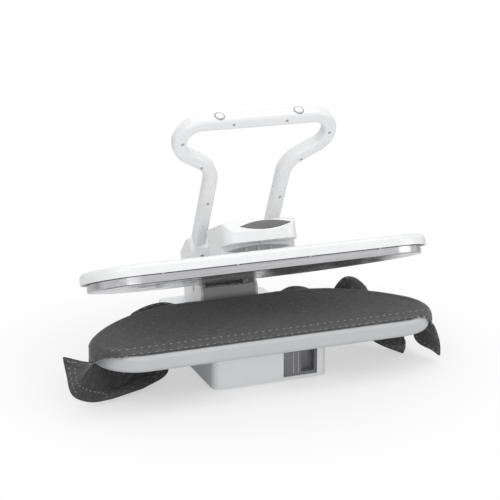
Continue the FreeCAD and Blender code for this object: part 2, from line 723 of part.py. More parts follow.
def torsion_springs():
    """Two wound springs on the pin, each with a leg to the front panel and a leg to the rear."""
    rise = SPRING_PITCH * SPRING_TURNS
    reach = HINGE_Y - COLUMN_FRONT_Y - PANEL - GAP
    helix = Part.makeHelix(SPRING_PITCH, rise, SPRING_RADIUS)
    slope = SPRING_PITCH / (2 * math.pi * SPRING_RADIUS)
    tangent = Vector(0, 1, slope)
    tangent.normalize()
    start = Vector(SPRING_RADIUS, 0, 0)
    end = Vector(SPRING_RADIUS, 0, rise)
    legs = [Part.makeLine(start - tangent * reach, start), Part.makeLine(end, end + tangent * reach)]
    path = Part.Wire([legs[0]] + helix.Edges + [legs[1]])
    wire = Part.Wire(Part.makeCircle(SPRING_WIRE, start - tangent * reach, tangent))
    spring = path.makePipeShell([wire], True, False)
    spring.rotate(Vector(0, 0, 0), Vector(0, 1, 0), 90)
    spring.translate(Vector(12.0, HINGE_Y, HINGE_Z))
    return pair(spring)


def stop_bumpers():
    """Rubber blocks under the tails of the arms that hold the press open."""
    corner = Vector(0, HINGE_Y + 25.0, HINGE_Z - 8.0)
    tail = opened(Part.Vertex(corner)).Point
    half = ARM_THICK / 2 + 2.0
    block = box(ARM_X - half, ARM_X + half, tail.y - 6.0, COLUMN_REAR_Y - PANEL, tail.z - 16.0, tail.z - GAP)
    return pair(block)


def hinge_arm():
    """One arm from the hinge pin into the cover, with a tail for the stop."""
    x0 = ARM_X - ARM_THICK / 2
    x1 = ARM_X + ARM_THICK / 2
    eye = rod(x0, HINGE_Y, HINGE_Z, EYE_RADIUS, ARM_THICK, (1, 0, 0))
    neck = yz_prism([(HINGE_Y - EYE_RADIUS, HINGE_Z), (HINGE_Y + EYE_RADIUS, HINGE_Z),
                     (HINGE_Y + 8.0, FRAME_Z), (HINGE_Y - 26.0, FRAME_Z),
                     (HINGE_Y - 26.0, CARRIER_TOP)], x0, x1)
    beam = box(x0, x1, ARM_FRONT_Y, HINGE_Y, CARRIER_TOP, FRAME_Z)
    tail = box(x0, x1, HINGE_Y, HINGE_Y + 25.0, HINGE_Z - 8.0, HINGE_Z + 8.0)
    bore = rod(x0 - 1.0, HINGE_Y, HINGE_Z, PIN_RADIUS + BUSH_WALL, ARM_THICK + 2.0, (1, 0, 0))
    return opened(fuse_all([eye, neck, beam, tail]).cut(bore))


def hinge_hood():
    """Cover over both arms behind the platen cover."""
    half = ARM_X + ARM_THICK / 2 + WALL
    front = COVER_REAR_Y + GAP
    rear = HINGE_Y + 20.0
    low = CARRIER_TOP - 1.0
    outer = box(-half - WALL + 1.0, half + WALL - 1.0, front, rear, low, FRAME_Z + WALL)
    inner = box(-half, half, front - 1.0, rear - WALL, low - 1.0, FRAME_Z)
    return opened(outer.cut(inner))


def cover_outer():
    """Outer form of the platen cover."""
    body = plate_form(COVER_GROW, COVER_Z, COVER_TOP)
    return body.makeFillet(COVER_ROUND, edges_at(body, COVER_TOP))


def cover_screw_places():
    """Places of the screws through the rim of the carrier plate."""
    grow = (PLATEN_GROW + COVER_GROW - WALL) / 2
    front = PLATE_MID_Y - BOARD_DEPTH / 2 - grow
    rear = PLATE_MID_Y + BOARD_DEPTH / 2 + grow
    tip = PLATE_MID_Y + TIP_Y
    right = [(210.0, front), (70.0, front), (90.0, rear), (TIP_X + grow, tip)]
    return right + [(-x, y) for x, y in right]


def hub_bolt_places():
    """Places of the bolts that hold the handle feet."""
    right = [(62.0, HUB_FRONT_Y + 10.0), (86.0, HUB_FRONT_Y + 28.0)]
    return [(sx * x, y) for sx in (-1, 1) for x, y in right]


def pod_screw_places():
    """Places of the screws that hold the pod on the cover."""
    return [(sx * 58.0, y) for sx in (-1, 1) for y in (5.0, POD_REAR_Y - 18.0)]


def top_cover():
    """White shell over the platen."""
    inner = plate_form(COVER_GROW - WALL, COVER_Z, COVER_IN_TOP)
    inner = inner.makeFillet(COVER_ROUND - WALL, edges_at(inner, COVER_IN_TOP))
    shell = cover_outer().cut(inner)
    bosses = []
    for x, y in cover_screw_places():
        boss = rod(x, y, CARRIER_TOP, 4.0, COVER_IN_TOP - CARRIER_TOP + 1.0)
        bosses.append(boss.common(cover_outer()))
    shell = fuse_all([shell] + bosses)
    tools = [rod(x, y, CARRIER_TOP - 1.0, SCREW_RADIUS + RUNNING, 9.0) for x, y in cover_screw_places()]
    for side in (-1, 1):
        mid = side * ARM_X
        half = ARM_THICK / 2 + GAP
        tools.append(box(mid - half, mid + half, COVER_REAR_Y - 3 * WALL, COVER_REAR_Y + 1.0, COVER_Z - 1.0,
                         FRAME_Z + GAP))
    tools += [rod(x, y, COVER_IN_TOP - 1.0, 2.5 + RUNNING, WALL + 2.0) for x, y in hub_bolt_places()]
    tools += [rod(x, y, COVER_IN_TOP - 1.0, SCREW_RADIUS + RUNNING, WALL + 2.0)
              for x, y in pod_screw_places()]
    tools.append(rod(0.0, 20.0, COVER_IN_TOP - 1.0, 9.0, WALL + 2.0))
    return opened(cut_all(shell, tools))


def frame_plate():
    """Steel plate under the cover that joins the arms and the handle feet, on posts over the carrier."""
    half = HUB_OUTER_X + WALL
    plate = box(-half, half, ARM_FRONT_Y, COVER_REAR_Y - 4 * WALL, FRAME_Z, COVER_IN_TOP)
    tools = [rod(x, y, FRAME_Z - 1.0, 2.5 + RUNNING, 4.0) for x, y in hub_bolt_places()]
    tools += [rod(x, y, FRAME_Z - 1.0, SCREW_HEAD + GAP, 4.0) for x, y in pod_screw_places()]
    tall = FRAME_Z - CARRIER_TOP + 1.0
    posts = [rod(sx * 80.0, y, CARRIER_TOP, 5.0, tall) for sx in (-1, 1) for y in (64.0, 110.0)]
    return opened(fuse_all([cut_all(plate, tools)] + posts))


def stud_places():
    """Places of the studs that hang the platen on the carrier plate."""
    y = BOARD_DEPTH / 2 + PLATEN_GROW - RIM_THICK - 10.0
    x = TIP_X + PLATEN_GROW - RIM_THICK - 18.0
    right = [(150.0, PLATE_MID_Y - y), (120.0, PLATE_MID_Y + y), (x, PLATE_MID_Y + TIP_Y)]
    return right + [(-x, y) for x, y in right]


def carrier_plate():
    """Sheet that carries the platen and closes the cover from below."""
    plate = plate_form(COVER_GROW - WALL - GAP, CARRIER_Z, CARRIER_TOP)
    tools = [rod(x, y, CARRIER_Z - 1.0, STUD_RADIUS + RUNNING, 4.0) for x, y in stud_places()]
    tools += [rod(x, y, CARRIER_Z - 1.0, SCREW_RADIUS + RUNNING, 4.0) for x, y in cover_screw_places()]
    tools.append(rod(0.0, PAN_MID_Y, CARRIER_Z - 1.0, 6.0 + RUNNING, 4.0))
    return opened(cut_all(plate, tools))


def cover_screws():
    """Screws through the carrier rim into the cover."""
    places = cover_screw_places()
    made = [screw(x, y, CARRIER_Z, 8.0, SCREW_RADIUS, SCREW_HEAD, 1.4, (0, 0, 1)) for x, y in places]
    return opened(Part.makeCompound(made))


def platen():
    """Cast plate with a raised rim, studs and rows of steam holes."""
    body = plate_form(PLATEN_GROW, SOLE_Z, PLATEN_TOP)
    body = body.makeFillet(2.5, edges_at(body, SOLE_Z))
    body = body.cut(plate_form(PLATEN_GROW - RIM_THICK, SOLE_TOP, PLATEN_TOP + 1.0))
    height = CARRIER_TOP + NUT_HEIGHT + 1.0 - SOLE_TOP
    body = fuse_all([body] + [rod(x, y, SOLE_TOP - 1.0, STUD_RADIUS, height + 1.0) for x, y in stud_places()])
    holes = []
    for row in range(STEAM_ROWS):
        y = PAN_MID_Y + (row - (STEAM_ROWS - 1) / 2) * STEAM_PITCH_Y
        count = STEAM_COLUMNS - row % 2
        for column in range(count):
            x = (column - (count - 1) / 2) * STEAM_PITCH_X
            holes.append(rod(x, y, SOLE_Z - 1.0, STEAM_HOLE_RADIUS, SOLE_THICK + 2.0))
    return opened(body.cut(Part.makeCompound(holes)))


def seam_gasket():
    """Dark seal between the platen rim and the carrier plate."""
    outer = plate_form(PLATEN_GROW - 1.0, PLATEN_TOP, CARRIER_Z)
    return opened(outer.cut(plate_form(PLATEN_GROW - RIM_THICK, PLATEN_TOP - 1.0, CARRIER_Z + 1.0)))


def platen_nuts():
    """Nuts on the platen studs."""
    nuts = []
    for x, y in stud_places():
        turns = [math.radians(60 * i) for i in range(6)]
        ringed = [Vector(x + 5.8 * math.cos(a), y + 5.8 * math.sin(a), CARRIER_TOP) for a in turns]
        nut = Part.Face(Part.makePolygon(ringed + ringed[:1])).extrude(Vector(0, 0, NUT_HEIGHT))
        nuts.append(nut.cut(rod(x, y, CARRIER_TOP - 1.0, STUD_RADIUS, NUT_HEIGHT + 2.0)))
    return opened(Part.makeCompound(nuts))


def steam_pan():
    """Pan that spreads the steam over the holes of the platen."""
    outer = slab(PAN_LENGTH, PAN_DEPTH, 20.0, SOLE_TOP, SOLE_TOP + PAN_HEIGHT, PAN_MID_Y)
    inner = slab(PAN_LENGTH - 8.0, PAN_DEPTH - 8.0, 16.0, SOLE_TOP, SOLE_TOP + PAN_HEIGHT - SHEET, PAN_MID_Y)
    return opened(outer.cut(inner).cut(rod(0.0, PAN_MID_Y, SOLE_TOP, 3.5, PAN_HEIGHT + 1.0)))


def heating_element():
    """Bent tubular heater on the platen around the steam pan."""
    hx = PAN_LENGTH / 2 + ELEMENT_REACH
    hy = PAN_DEPTH / 2 + ELEMENT_CLEAR + ELEMENT_RADIUS
    turn = ELEMENT_TURN
    gap = 30.0
    z = SOLE_TOP + ELEMENT_RADIUS
    right = [Vector(gap, PAN_MID_Y + hy, z), Vector(hx - turn, PAN_MID_Y + hy, z)]
    edges = []
    far = PAN_MID_Y + hy - turn
    near = PAN_MID_Y - hy + turn
    corners = [(hx - turn, far, 90, 0), (hx - turn, near, 0, -90), (-hx + turn, near, -90, -180),
               (-hx + turn, far, 180, 90)]
    last = right[0]
    for cx, cy, start, end in corners:
        circle = Part.Circle(Vector(cx, cy, z), Vector(0, 0, 1), turn)
        points = [circle.value(math.radians(a)) for a in (start, (start + end) / 2, end)]
        edges.append(Part.makeLine(last, points[0]))
        edges.append(Part.Arc(*points).toShape())
        last = points[2]
    edges.append(Part.makeLine(last, Vector(-gap, PAN_MID_Y + hy, z)))
    path = Part.Wire(edges)
    start_ring = Part.Wire(Part.makeCircle(ELEMENT_RADIUS, right[0], Vector(1, 0, 0)))
    return opened(path.makePipeShell([start_ring], True, False))


def thermostat():
    """Disc thermostat on the platen."""
    return opened(rod(PAN_LENGTH / 2 + ELEMENT_REACH / 2, PAN_MID_Y, SOLE_TOP, 8.0, 5.0))


def steam_generator():
    """Flash boiler on the carrier plate with a spout into the steam pan."""
    body = box(-60.0, 60.0, -66.0, 18.0, CARRIER_TOP, CARRIER_TOP + 12.0)
    upright = [e for e in body.Edges if e.BoundBox.ZLength > 10.0]
    body = body.makeFillet(8.0, upright)
    spout = rod(0.0, PAN_MID_Y, SOLE_TOP + PAN_HEIGHT, 6.0, CARRIER_TOP - SOLE_TOP - PAN_HEIGHT + 1.0)
    bore = rod(0.0, PAN_MID_Y, SOLE_TOP, 3.5, CARRIER_TOP - SOLE_TOP + 4.0)
    return opened(fuse_all([body, spout]).cut(bore))


def pod_profile(inset):
    """Side outline of the pod, drawn in by a wall thickness."""
    low = COVER_TOP if inset == 0 else COVER_TOP - 1.0
    lip_low = COVER_TOP + POD_LIP_BOTTOM + inset
    lip_top = COVER_TOP + POD_LIP_TOP - 0.4 * inset
    top = COVER_TOP + POD_HEIGHT - inset
    front = POD_FRONT_Y + inset
    strip = POD_STRIP_Y + inset + (STRIP_THICK if inset else 0.0)
    rear = POD_REAR_Y - inset
    return [(strip, low), (strip, lip_low), (front, lip_low + 2.0), (front, lip_top),
            (POD_FRONT_Y + POD_SLOPE_DEPTH + 0.4 * inset, top), (rear - 8.0, top), (rear, top - 12.0),
            (rear, low)]


def pod_form(inset):
    """Pod form between its side outline and its round-cornered plan, with sharp edges."""
    half = POD_WIDTH / 2 - inset
    body = yz_prism(pod_profile(inset), -half, half)
    depth = POD_REAR_Y - POD_FRONT_Y - 2 * inset
    plan = slab(POD_WIDTH - 2 * inset, depth, POD_CORNER - inset, COVER_TOP - 2.0,
                COVER_TOP + POD_HEIGHT + 2.0, (POD_REAR_Y + POD_FRONT_Y) / 2)
    return body.common(plan)


def pod_outer():
    """Outer form of the pod with its lip and top softly rounded."""
    body = pod_form(0.0)
    soft = [e for e in body.Edges if e.BoundBox.ZMin > COVER_TOP + POD_LIP_BOTTOM + POD_ROUND]
    return body.makeFillet(POD_ROUND, soft)


def lens_face(half, rise):
    """Flat lens of two arcs around the origin."""
    upper = Part.Arc(Vector(-half, 0, 0), Vector(0, rise, 0), Vector(half, 0, 0)).toShape()
    lower = Part.Arc(Vector(half, 0, 0), Vector(0, -rise, 0), Vector(-half, 0, 0)).toShape()
    return Part.Face(Part.Wire([upper, lower]))


def slope_tilt():
    """Angle of the sloping pod front from the level."""
    return math.degrees(math.atan2(POD_HEIGHT - POD_LIP_TOP, POD_SLOPE_DEPTH))


def on_slope(shape):
    """Moves a shape drawn on the level to the middle of the sloping pod front."""
    placed = shape.copy()
    placed.rotate(Vector(0, 0, 0), Vector(1, 0, 0), slope_tilt())
    height = COVER_TOP + (POD_HEIGHT + POD_LIP_TOP) / 2
    placed.translate(Vector(WINDOW_SHIFT, POD_FRONT_Y + POD_SLOPE_DEPTH / 2, height))
    return placed


def lens_plate(half, rise, low, high):
    """Lens-shaped plate between two levels."""
    plate = lens_face(half, rise).extrude(Vector(0, 0, high - low))
    plate.translate(Vector(0, 0, low))
    return plate


def on_strip(shape):
    """Moves a shape drawn on the level to the upright strip under the pod lip, facing the user."""
    placed = shape.copy()
    placed.rotate(Vector(0, 0, 0), Vector(1, 0, 0), 90)
    placed.translate(Vector(0, POD_STRIP_Y, strip_z()))
    return placed


def strip_z():
    """Height of the middle of the control strip."""
    return COVER_TOP + POD_LIP_BOTTOM / 2


def key_places():
    """Places of the control keys along the strip."""
    return [(i - (KEY_COUNT - 1) / 2) * KEY_PITCH for i in range(KEY_COUNT)]


def pod_housing():
    """White housing of the control pod."""
    shell = pod_outer().cut(pod_form(POD_WALL))
    bosses = [rod(x, y, COVER_TOP, 5.0, POD_HEIGHT - POD_WALL / 2) for x, y in pod_screw_places()]
    bosses = [boss.common(pod_outer()) for boss in bosses]
    shell = fuse_all([shell] + bosses)
    tools = [rod(x, y, COVER_TOP - 1.0, SCREW_RADIUS + RUNNING, 11.0) for x, y in pod_screw_places()]
    tools.append(on_slope(lens_plate(WINDOW_HALF + SLIP, WINDOW_RISE + SLIP, -WINDOW_THICK, 4.0)))
    tools.append(on_slope(lens_plate(WINDOW_HALF - 8.0, WINDOW_RISE - 3.0, -8.0, 4.0)))
    tools.append(on_strip(lens_plate(STRIP_HALF + SLIP, STRIP_RISE + SLIP, -STRIP_THICK, 4.0)))
    tools += [on_strip(rod(x, 0.0, -9.0, KEY_RADIUS + 1.2, 12.0)) for x in key_places()]
    return opened(cut_all(shell, tools))


def display_window():
    """Dark lens over the display."""
    return opened(on_slope(lens_plate(WINDOW_HALF, WINDOW_RISE, -WINDOW_THICK, 0.4)))


def display_board():
    """Circuit board behind the dark lens."""
    plate = box(-40.0, 40.0, -8.0, 8.0, -WINDOW_THICK - 5.6, -WINDOW_THICK - 4.0)
    back = -WINDOW_THICK - 5.0
    pins = [box(x - 2.0, x + 2.0, -6.0, 6.0, back, -POD_WALL - SLIP) for x in (-36.0, 36.0)]
    return opened(on_slope(fuse_all([plate] + pins)))


def control_strip():
    """Silver strip with the bores for the keys."""
    plate = on_strip(lens_plate(STRIP_HALF, STRIP_RISE, -STRIP_THICK, 0.4))
    holes = [on_strip(rod(x, 0.0, -9.0, KEY_RADIUS + SLIP, 12.0)) for x in key_places()]
    return opened(cut_all(plate, holes))


def control_key(index):
    """One push key in the strip, held in by its flange."""
    x = key_places()[index]
    cap = rod(x, 0.0, -STRIP_THICK - 1.6, KEY_RADIUS, STRIP_THICK + 3.2)
    cap = cap.makeFillet(0.6, edges_at(cap, 1.6))
    flange = rod(x, 0.0, -STRIP_THICK - 1.6, KEY_RADIUS + 0.9, 1.4)
    return opened(on_strip(fuse_all([cap, flange])))


def keypad():
    """Rubber mat with a dome behind each key."""
    back = -STRIP_THICK - 1.6 - KEY_TRAVEL - 1.0
    mat = box(-STRIP_HALF + 8.0, STRIP_HALF - 8.0, -4.0, 4.0, back - 1.6, back)
    front = -POD_WALL - STRIP_THICK
    ends = [box(x - 4.0, x + 4.0, -3.0, 3.0, back - 0.5, front) for x in (-48.0, 48.0)]
    domes = [rod(x, 0.0, back - 0.5, 1.5, 0.5 + 0.7) for x in key_places()]
    return opened(on_strip(fuse_all([mat] + ends + domes)))


def pod_screws():
    """Screws from inside the cover into the pod."""
    made = [screw(x, y, COVER_IN_TOP, WALL + 9.0, SCREW_RADIUS, SCREW_HEAD, 2.0, (0, 0, 1))
            for x, y in pod_screw_places()]
    return opened(Part.makeCompound(made))


def handle_path():
    """Middle line of the loop handle from the left foot over the bar to the right foot."""
    slant = math.radians(DIAGONAL)
    shoulder_t = BAR_T - SHOULDER_RADIUS
    reach = SWAY_RADIUS + SHOULDER_RADIUS
    sway_t = shoulder_t - reach * math.cos(slant)
    sway_t -= math.tan(slant) * (SHOULDER_X - LEG_X - SWAY_RADIUS + reach * math.sin(slant))
    sway = Part.Circle(Vector(LEG_X + SWAY_RADIUS, sway_t, 0), Vector(0, 0, 1), SWAY_RADIUS)
    shoulder = Part.Circle(Vector(SHOULDER_X, shoulder_t, 0), Vector(0, 0, 1), SHOULDER_RADIUS)
    sway_angles = (180.0, 180.0 - (90.0 - DIAGONAL) / 2, 90.0 + DIAGONAL)
    sway_points = [sway.value(math.radians(a)) for a in sway_angles]
    shoulder_points = [shoulder.value(math.radians(a)) for a in (DIAGONAL - 90.0, DIAGONAL / 2, 90.0)]
    foot = Vector(LEG_X, LEG_START, 0)
    right = [("line", [foot, sway_points[0]]), ("arc", sway_points),
             ("line", [sway_points[2], shoulder_points[0]]), ("arc", shoulder_points)]

    def flip(point):
        return Vector(-point.x, point.y, point.z)

    edges = []
    for kind, points in right:
        turned = [flip(p) for p in points]
        edges.append(Part.Arc(*turned).toShape() if kind == "arc" else Part.makeLine(*turned))
    edges.append(Part.makeLine(flip(shoulder_points[2]), shoulder_points[2]))
    for kind, points in reversed(right):
        back = list(reversed(points))
        edges.append(Part.Arc(*back).toShape() if kind == "arc" else Part.makeLine(*back))
    return Part.Wire(edges)


def handle_sweep(wide, deep, rounding, ahead=0.0):
    """Solid of a rounded section carried along the handle's middle line."""
    profile = rounded_wire(wide, deep, rounding, 0.0)
    profile.rotate(Vector(0, 0, 0), Vector(1, 0, 0), 90)
    profile.translate(Vector(-LEG_X, LEG_START, ahead))
    return handle_path().makePipeShell([profile], True, False)


def handle_screw_places():
    """Places of the screws in the front of the handle, in the handle plane."""
    right = [(51.0, BAR_T), (142.0, BAR_T - 36.0), (98.0, BAR_T - 95.0), (LEG_X, BAR_T - 183.0),
             (LEG_X, LEG_START + 24.0)]
    return [(sx * x, t) for sx in (-1, 1) for x, t in right]


def button_hole(sx, radius, low, high):
    """Round bar square to the grip at one button, between two heights over the grip's middle line."""
    return rod(sx * BUTTON_X, BAR_T + low, 0.0, radius, high - low, (0, 1, 0))


def handle_shell(front):
    """Front or rear half of the hollow loop handle, with a small oval dimple inside the right leg."""
    body = handle_sweep(HANDLE_WIDE, HANDLE_DEEP, HANDLE_ROUND)
    thinner = 2 * HANDLE_WALL
    hollow = handle_sweep(HANDLE_WIDE - thinner, HANDLE_DEEP - thinner, HANDLE_ROUND - HANDLE_WALL)
    body = body.cut(hollow)
    half = HANDLE_DEEP / 2 - HANDLE_WALL
    for x, t in handle_screw_places():
        if front:
            boss = rod(x, t, 0.0, 4.0, half + 0.5)
        else:
            boss = rod(x, t, -half - 0.5, 4.0, half + 0.5 - CORE_BACK - CORE_DEEP / 2)
        body = body.fuse(boss)
    keep = box(-300.0, 300.0, 0.0, 600.0, 0.0, 60.0) if front else box(-300.0, 300.0, 0.0, 600.0, -60.0, 0.0)
    body = body.common(keep)
    tools = []
    for x, t in handle_screw_places():
        tools.append(rod(x, t, -half - 1.0, SCREW_RADIUS + RUNNING, 2 * half + 4.0))
        tools.append(rod(x, t, half - 0.5, SCREW_HEAD + SLIP, 6.0))
    for sx in (-1, 1):
        tools.append(button_hole(sx, BUTTON_RADIUS + SLIP, 0.0, 30.0))
        tools.append(button_hole(sx, BEZEL_RADIUS + RUNNING, HANDLE_WIDE / 2 - 1.4, 30.0))
    dimple = slab(5.0, 11.0, 2.4, -1.0, 1.0)
    dimple.rotate(Vector(0, 0, 0), Vector(0, 1, 0), 90)
    dimple.rotate(Vector(0, 0, 0), Vector(1, 0, 0), 90)
    dimple.translate(Vector(LEG_X - HANDLE_WIDE / 2, BAR_T - 168.0, 0.0))
    tools.append(dimple)
    return from_handle(cut_all(body, tools).removeSplitter())


def handle_core():
    """Flat steel bar bent to the loop inside the handle."""
    body = handle_sweep(CORE_WIDE, CORE_DEEP, 1.0, -CORE_BACK)
    tools = [rod(x, t, -HANDLE_DEEP, SCREW_RADIUS + RUNNING, 2 * HANDLE_DEEP)
             for x, t in handle_screw_places()]
    return from_handle(cut_all(body, tools))


def handle_screws():
    """Screws in the front of the handle."""
    seat = HANDLE_DEEP / 2 - HANDLE_WALL - 0.5
    places = handle_screw_places()
    made = [screw(x, t, seat, seat * 2 - 0.5, SCREW_RADIUS, SCREW_HEAD, 1.6, (0, 0, -1)) for x, t in places]
    return from_handle(Part.makeCompound(made))


def steam_button(sx):
    """Push button in the bar with a stem under its flange."""
    low = HANDLE_WIDE / 2 - HANDLE_WALL - 2.4
    cap = button_hole(sx, BUTTON_RADIUS, low, HANDLE_WIDE / 2 + 1.8)
    rim = [e for e in cap.Edges
           if e.BoundBox.YMin > BAR_T + HANDLE_WIDE / 2 + 1.0 and e.BoundBox.YLength < 0.1]
    cap = cap.makeFillet(1.0, rim)
    flange = button_hole(sx, BUTTON_RADIUS + 1.1, low, low + 1.4)
    stem = button_hole(sx, 2.0, low - 3.4, low + 0.5)
    return from_handle(fuse_all([cap, flange, stem]))


def button_bezels():
    """Rings around both buttons."""
    rings = []
    for sx in (-1, 1):
        body = button_hole(sx, BEZEL_RADIUS, HANDLE_WIDE / 2 - 1.4, HANDLE_WIDE / 2 + 1.0)
        rings.append(body.cut(button_hole(sx, BUTTON_RADIUS + GAP, 0.0, 30.0)))
    return from_handle(Part.makeCompound(rings))


def switch_top():
    """Height of the switches over the middle line of the bar."""
    return HANDLE_WIDE / 2 - HANDLE_WALL - 2.4 - 3.4 - BUTTON_TRAVEL - GAP


def button_switches():
    """Switches under both buttons, clamped between the handle halves."""
    made = []
    for sx in (-1, 1):
        x = sx * BUTTON_X
        body = box(x - 8.0, x + 8.0, BAR_T - HANDLE_WIDE / 2 + HANDLE_WALL, BAR_T + switch_top(),
                   -CORE_BACK + CORE_DEEP / 2 + GAP, HANDLE_DEEP / 2 - HANDLE_ROUND)
        made.append(body)
    return from_handle(Part.makeCompound(made))


def button_coil(sx):
    """Flat-wire coil spring between a button flange and its switch."""
    low = switch_top() + 0.5
    high = HANDLE_WIDE / 2 - HANDLE_WALL - 2.4 - BUTTON_TRAVEL - 0.6
    turns = 2.0
    helix = Part.makeHelix((high - low) / turns, high - low, 4.0)
    section = [Vector(4.0 + dx, 0, dz) for dx, dz in ((-0.4, -0.3), (0.4, -0.3), (0.4, 0.3), (-0.4, 0.3))]
    profile = Part.makePolygon(section + section[:1])
    coil = Part.Wire(helix.Edges).makePipeShell([profile], True, True)
    coil.rotate(Vector(0, 0, 0), Vector(1, 0, 0), -90)
    coil.translate(Vector(sx * BUTTON_X, BAR_T + low, 0.0))
    return from_handle(coil)


def button_springs():
    """Coil springs of both buttons."""
    return Part.makeCompound([button_coil(-1), button_coil(1)])


def handle_foot():
    """One foot of the handle, shaped to the cover and hollowed for the leg."""
    low = COVER_TOP - COVER_ROUND
    rear = COVER_REAR_Y
    top = COVER_TOP + HUB_TOP
    body = yz_prism([(HUB_FRONT_Y, low), (HUB_FRONT_Y, COVER_TOP + 30.0), (HUB_FRONT_Y + 12.0, top),
                     (HUB_FRONT_Y + 36.0, top), (rear, COVER_TOP + 40.0), (rear, low)],
                    HUB_INNER_X, HUB_OUTER_X)
    outside = [e for e in body.Edges if e.BoundBox.XMin > HUB_OUTER_X - 0.1 and e.BoundBox.ZMin > low + 1.0]
    body = opened(body.makeFillet(8.0, outside))
    body = body.cut(opened(cover_outer()))
    leg = box(LEG_X - HANDLE_WIDE / 2 - SLIP, LEG_X + HANDLE_WIDE / 2 + SLIP, LEG_START, 400.0,
              -HANDLE_DEEP / 2 - SLIP, HANDLE_DEEP / 2 + SLIP)
    upright = [e for e in leg.Edges if e.BoundBox.YLength > 100.0]
    leg = leg.makeFillet(HANDLE_ROUND - 0.2, upright)
    body = body.cut(from_handle(leg))
    bolts = [rod(x, y, low, 2.5 + RUNNING, COVER_ROUND + 13.0) for x, y in hub_bolt_places() if x > 0]
    body = cut_all(body, [opened(b) for b in bolts])
    x, t = handle_screw_places()[-1]
    access = rod(x, t, 0.0, SCREW_HEAD + 1.5, 80.0)
    return body.cut(from_handle(access))


def hub_bolts():
    """Bolts from inside the cover into the handle feet."""
    made = [screw(x, y, FRAME_Z, WALL + 2.0 + 11.0, 2.5, 4.5, 3.0, (0, 0, 1)) for x, y in hub_bolt_places()]
    return opened(Part.makeCompound(made))


def main():
    """Writes one file per node."""
    cheek = column_cheek()
    nodes = {
        "base_housing": base_housing(),
        "base_plate": base_plate(),
        "rubber_feet": rubber_feet(),
        "base_screws": base_screws(),
        "tank_bay": tank_bay(),
        "water_tank": water_tank(),
        "tank_cap": tank_cap(),
        "pump": pump(),
        "water_hoses": water_hoses(),
        "power_board": power_board(),
        "cord_gland": cord_gland(),
        "board_tray": board_tray(),
        "tray_screws": tray_screws(),
        "bed_plate": bed_plate(),
        "foam_pad": foam_pad(),
        "board_cover": board_cover(),
        "pressing_cloth": pressing_cloth(),
        "column_left_cheek": mirrored(cheek),
        "column_right_cheek": cheek,
        "column_front_panel": column_front_panel(),
        "column_rear_panel": column_rear_panel(),
        "hinge_pin": hinge_pin(),
        "hinge_spacers": hinge_spacers(),
        "torsion_springs": torsion_springs(),
        "stop_bumpers": stop_bumpers(),
        "hinge_bushes": hinge_bushes(),
        "hinge_arms": pair(hinge_arm()),
        "hinge_hood": hinge_hood(),
        "top_cover": top_cover(),
        "frame_plate": frame_plate(),
        "carrier_plate": carrier_plate(),
        "cover_screws": cover_screws(),
        "platen": platen(),
        "seam_gasket": seam_gasket(),
        "platen_nuts": platen_nuts(),
        "steam_pan": steam_pan(),
        "heating_element": heating_element(),
        "thermostat": thermostat(),
        "steam_generator": steam_generator(),
        "pod_housing": pod_housing(),
        "pod_screws": pod_screws(),
        "display_window": display_window(),
        "display_board": display_board(),
        "control_strip": control_strip(),
        "keypad": keypad(),
        "handle_front_shell": handle_shell(True),
        "handle_rear_shell": handle_shell(False),
        "handle_core": handle_core(),
        "handle_screws": handle_screws(),
        "button_bezels": button_bezels(),
        "button_switches": button_switches(),
        "handle_feet": pair(handle_foot()),
        "hub_bolts": hub_bolts(),
        "left_steam_button": steam_button(-1),
        "right_steam_button": steam_button(1),
        "button_springs": button_springs(),
    }
    for index in range(KEY_COUNT):
        nodes["control_key_" + str(index + 1)] = control_key(index)
    os.makedirs("parts", exist_ok=True)
    for name, shape in nodes.items():
        shape.translate(Vector(0, -FLOOR_MID_Y, 0))
        shape.exportStep(os.path.join("parts", name + ".step"))
        print(name, len(shape.Solids), round(shape.Volume, 1), shape.isValid())


main()
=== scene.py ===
"""Steam ironing press: finishes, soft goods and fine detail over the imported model, with a studio stage."""
import json
import math

import bmesh
import bpy
import numpy as np
from bpy.props import FloatProperty, FloatVectorProperty, IntProperty, PointerProperty
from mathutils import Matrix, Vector


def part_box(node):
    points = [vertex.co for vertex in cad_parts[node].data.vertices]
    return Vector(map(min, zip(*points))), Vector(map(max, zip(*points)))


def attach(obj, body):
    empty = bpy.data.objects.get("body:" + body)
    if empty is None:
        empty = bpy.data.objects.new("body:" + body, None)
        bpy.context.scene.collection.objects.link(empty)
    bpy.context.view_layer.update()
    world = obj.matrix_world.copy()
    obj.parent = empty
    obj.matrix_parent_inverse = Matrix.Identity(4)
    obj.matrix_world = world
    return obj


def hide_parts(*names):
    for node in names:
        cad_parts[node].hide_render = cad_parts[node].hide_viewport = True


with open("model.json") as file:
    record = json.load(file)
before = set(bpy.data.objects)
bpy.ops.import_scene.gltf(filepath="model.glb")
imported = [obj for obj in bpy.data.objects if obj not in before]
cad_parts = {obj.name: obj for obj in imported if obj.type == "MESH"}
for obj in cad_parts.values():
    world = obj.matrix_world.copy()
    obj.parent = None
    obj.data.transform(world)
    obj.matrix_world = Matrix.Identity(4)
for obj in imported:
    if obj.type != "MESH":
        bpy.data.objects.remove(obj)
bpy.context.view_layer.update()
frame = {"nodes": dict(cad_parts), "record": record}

bl_info = {
    "name": "Steam press dressing",
    "version": (1, 0, 0),
    "blender": (4, 5, 0),
    "location": "3D View > Sidebar > Press",
    "description": "Finishes, pressing cloth, pad, stitches and level marks of a tabletop steam press",
    "category": "Object",
}

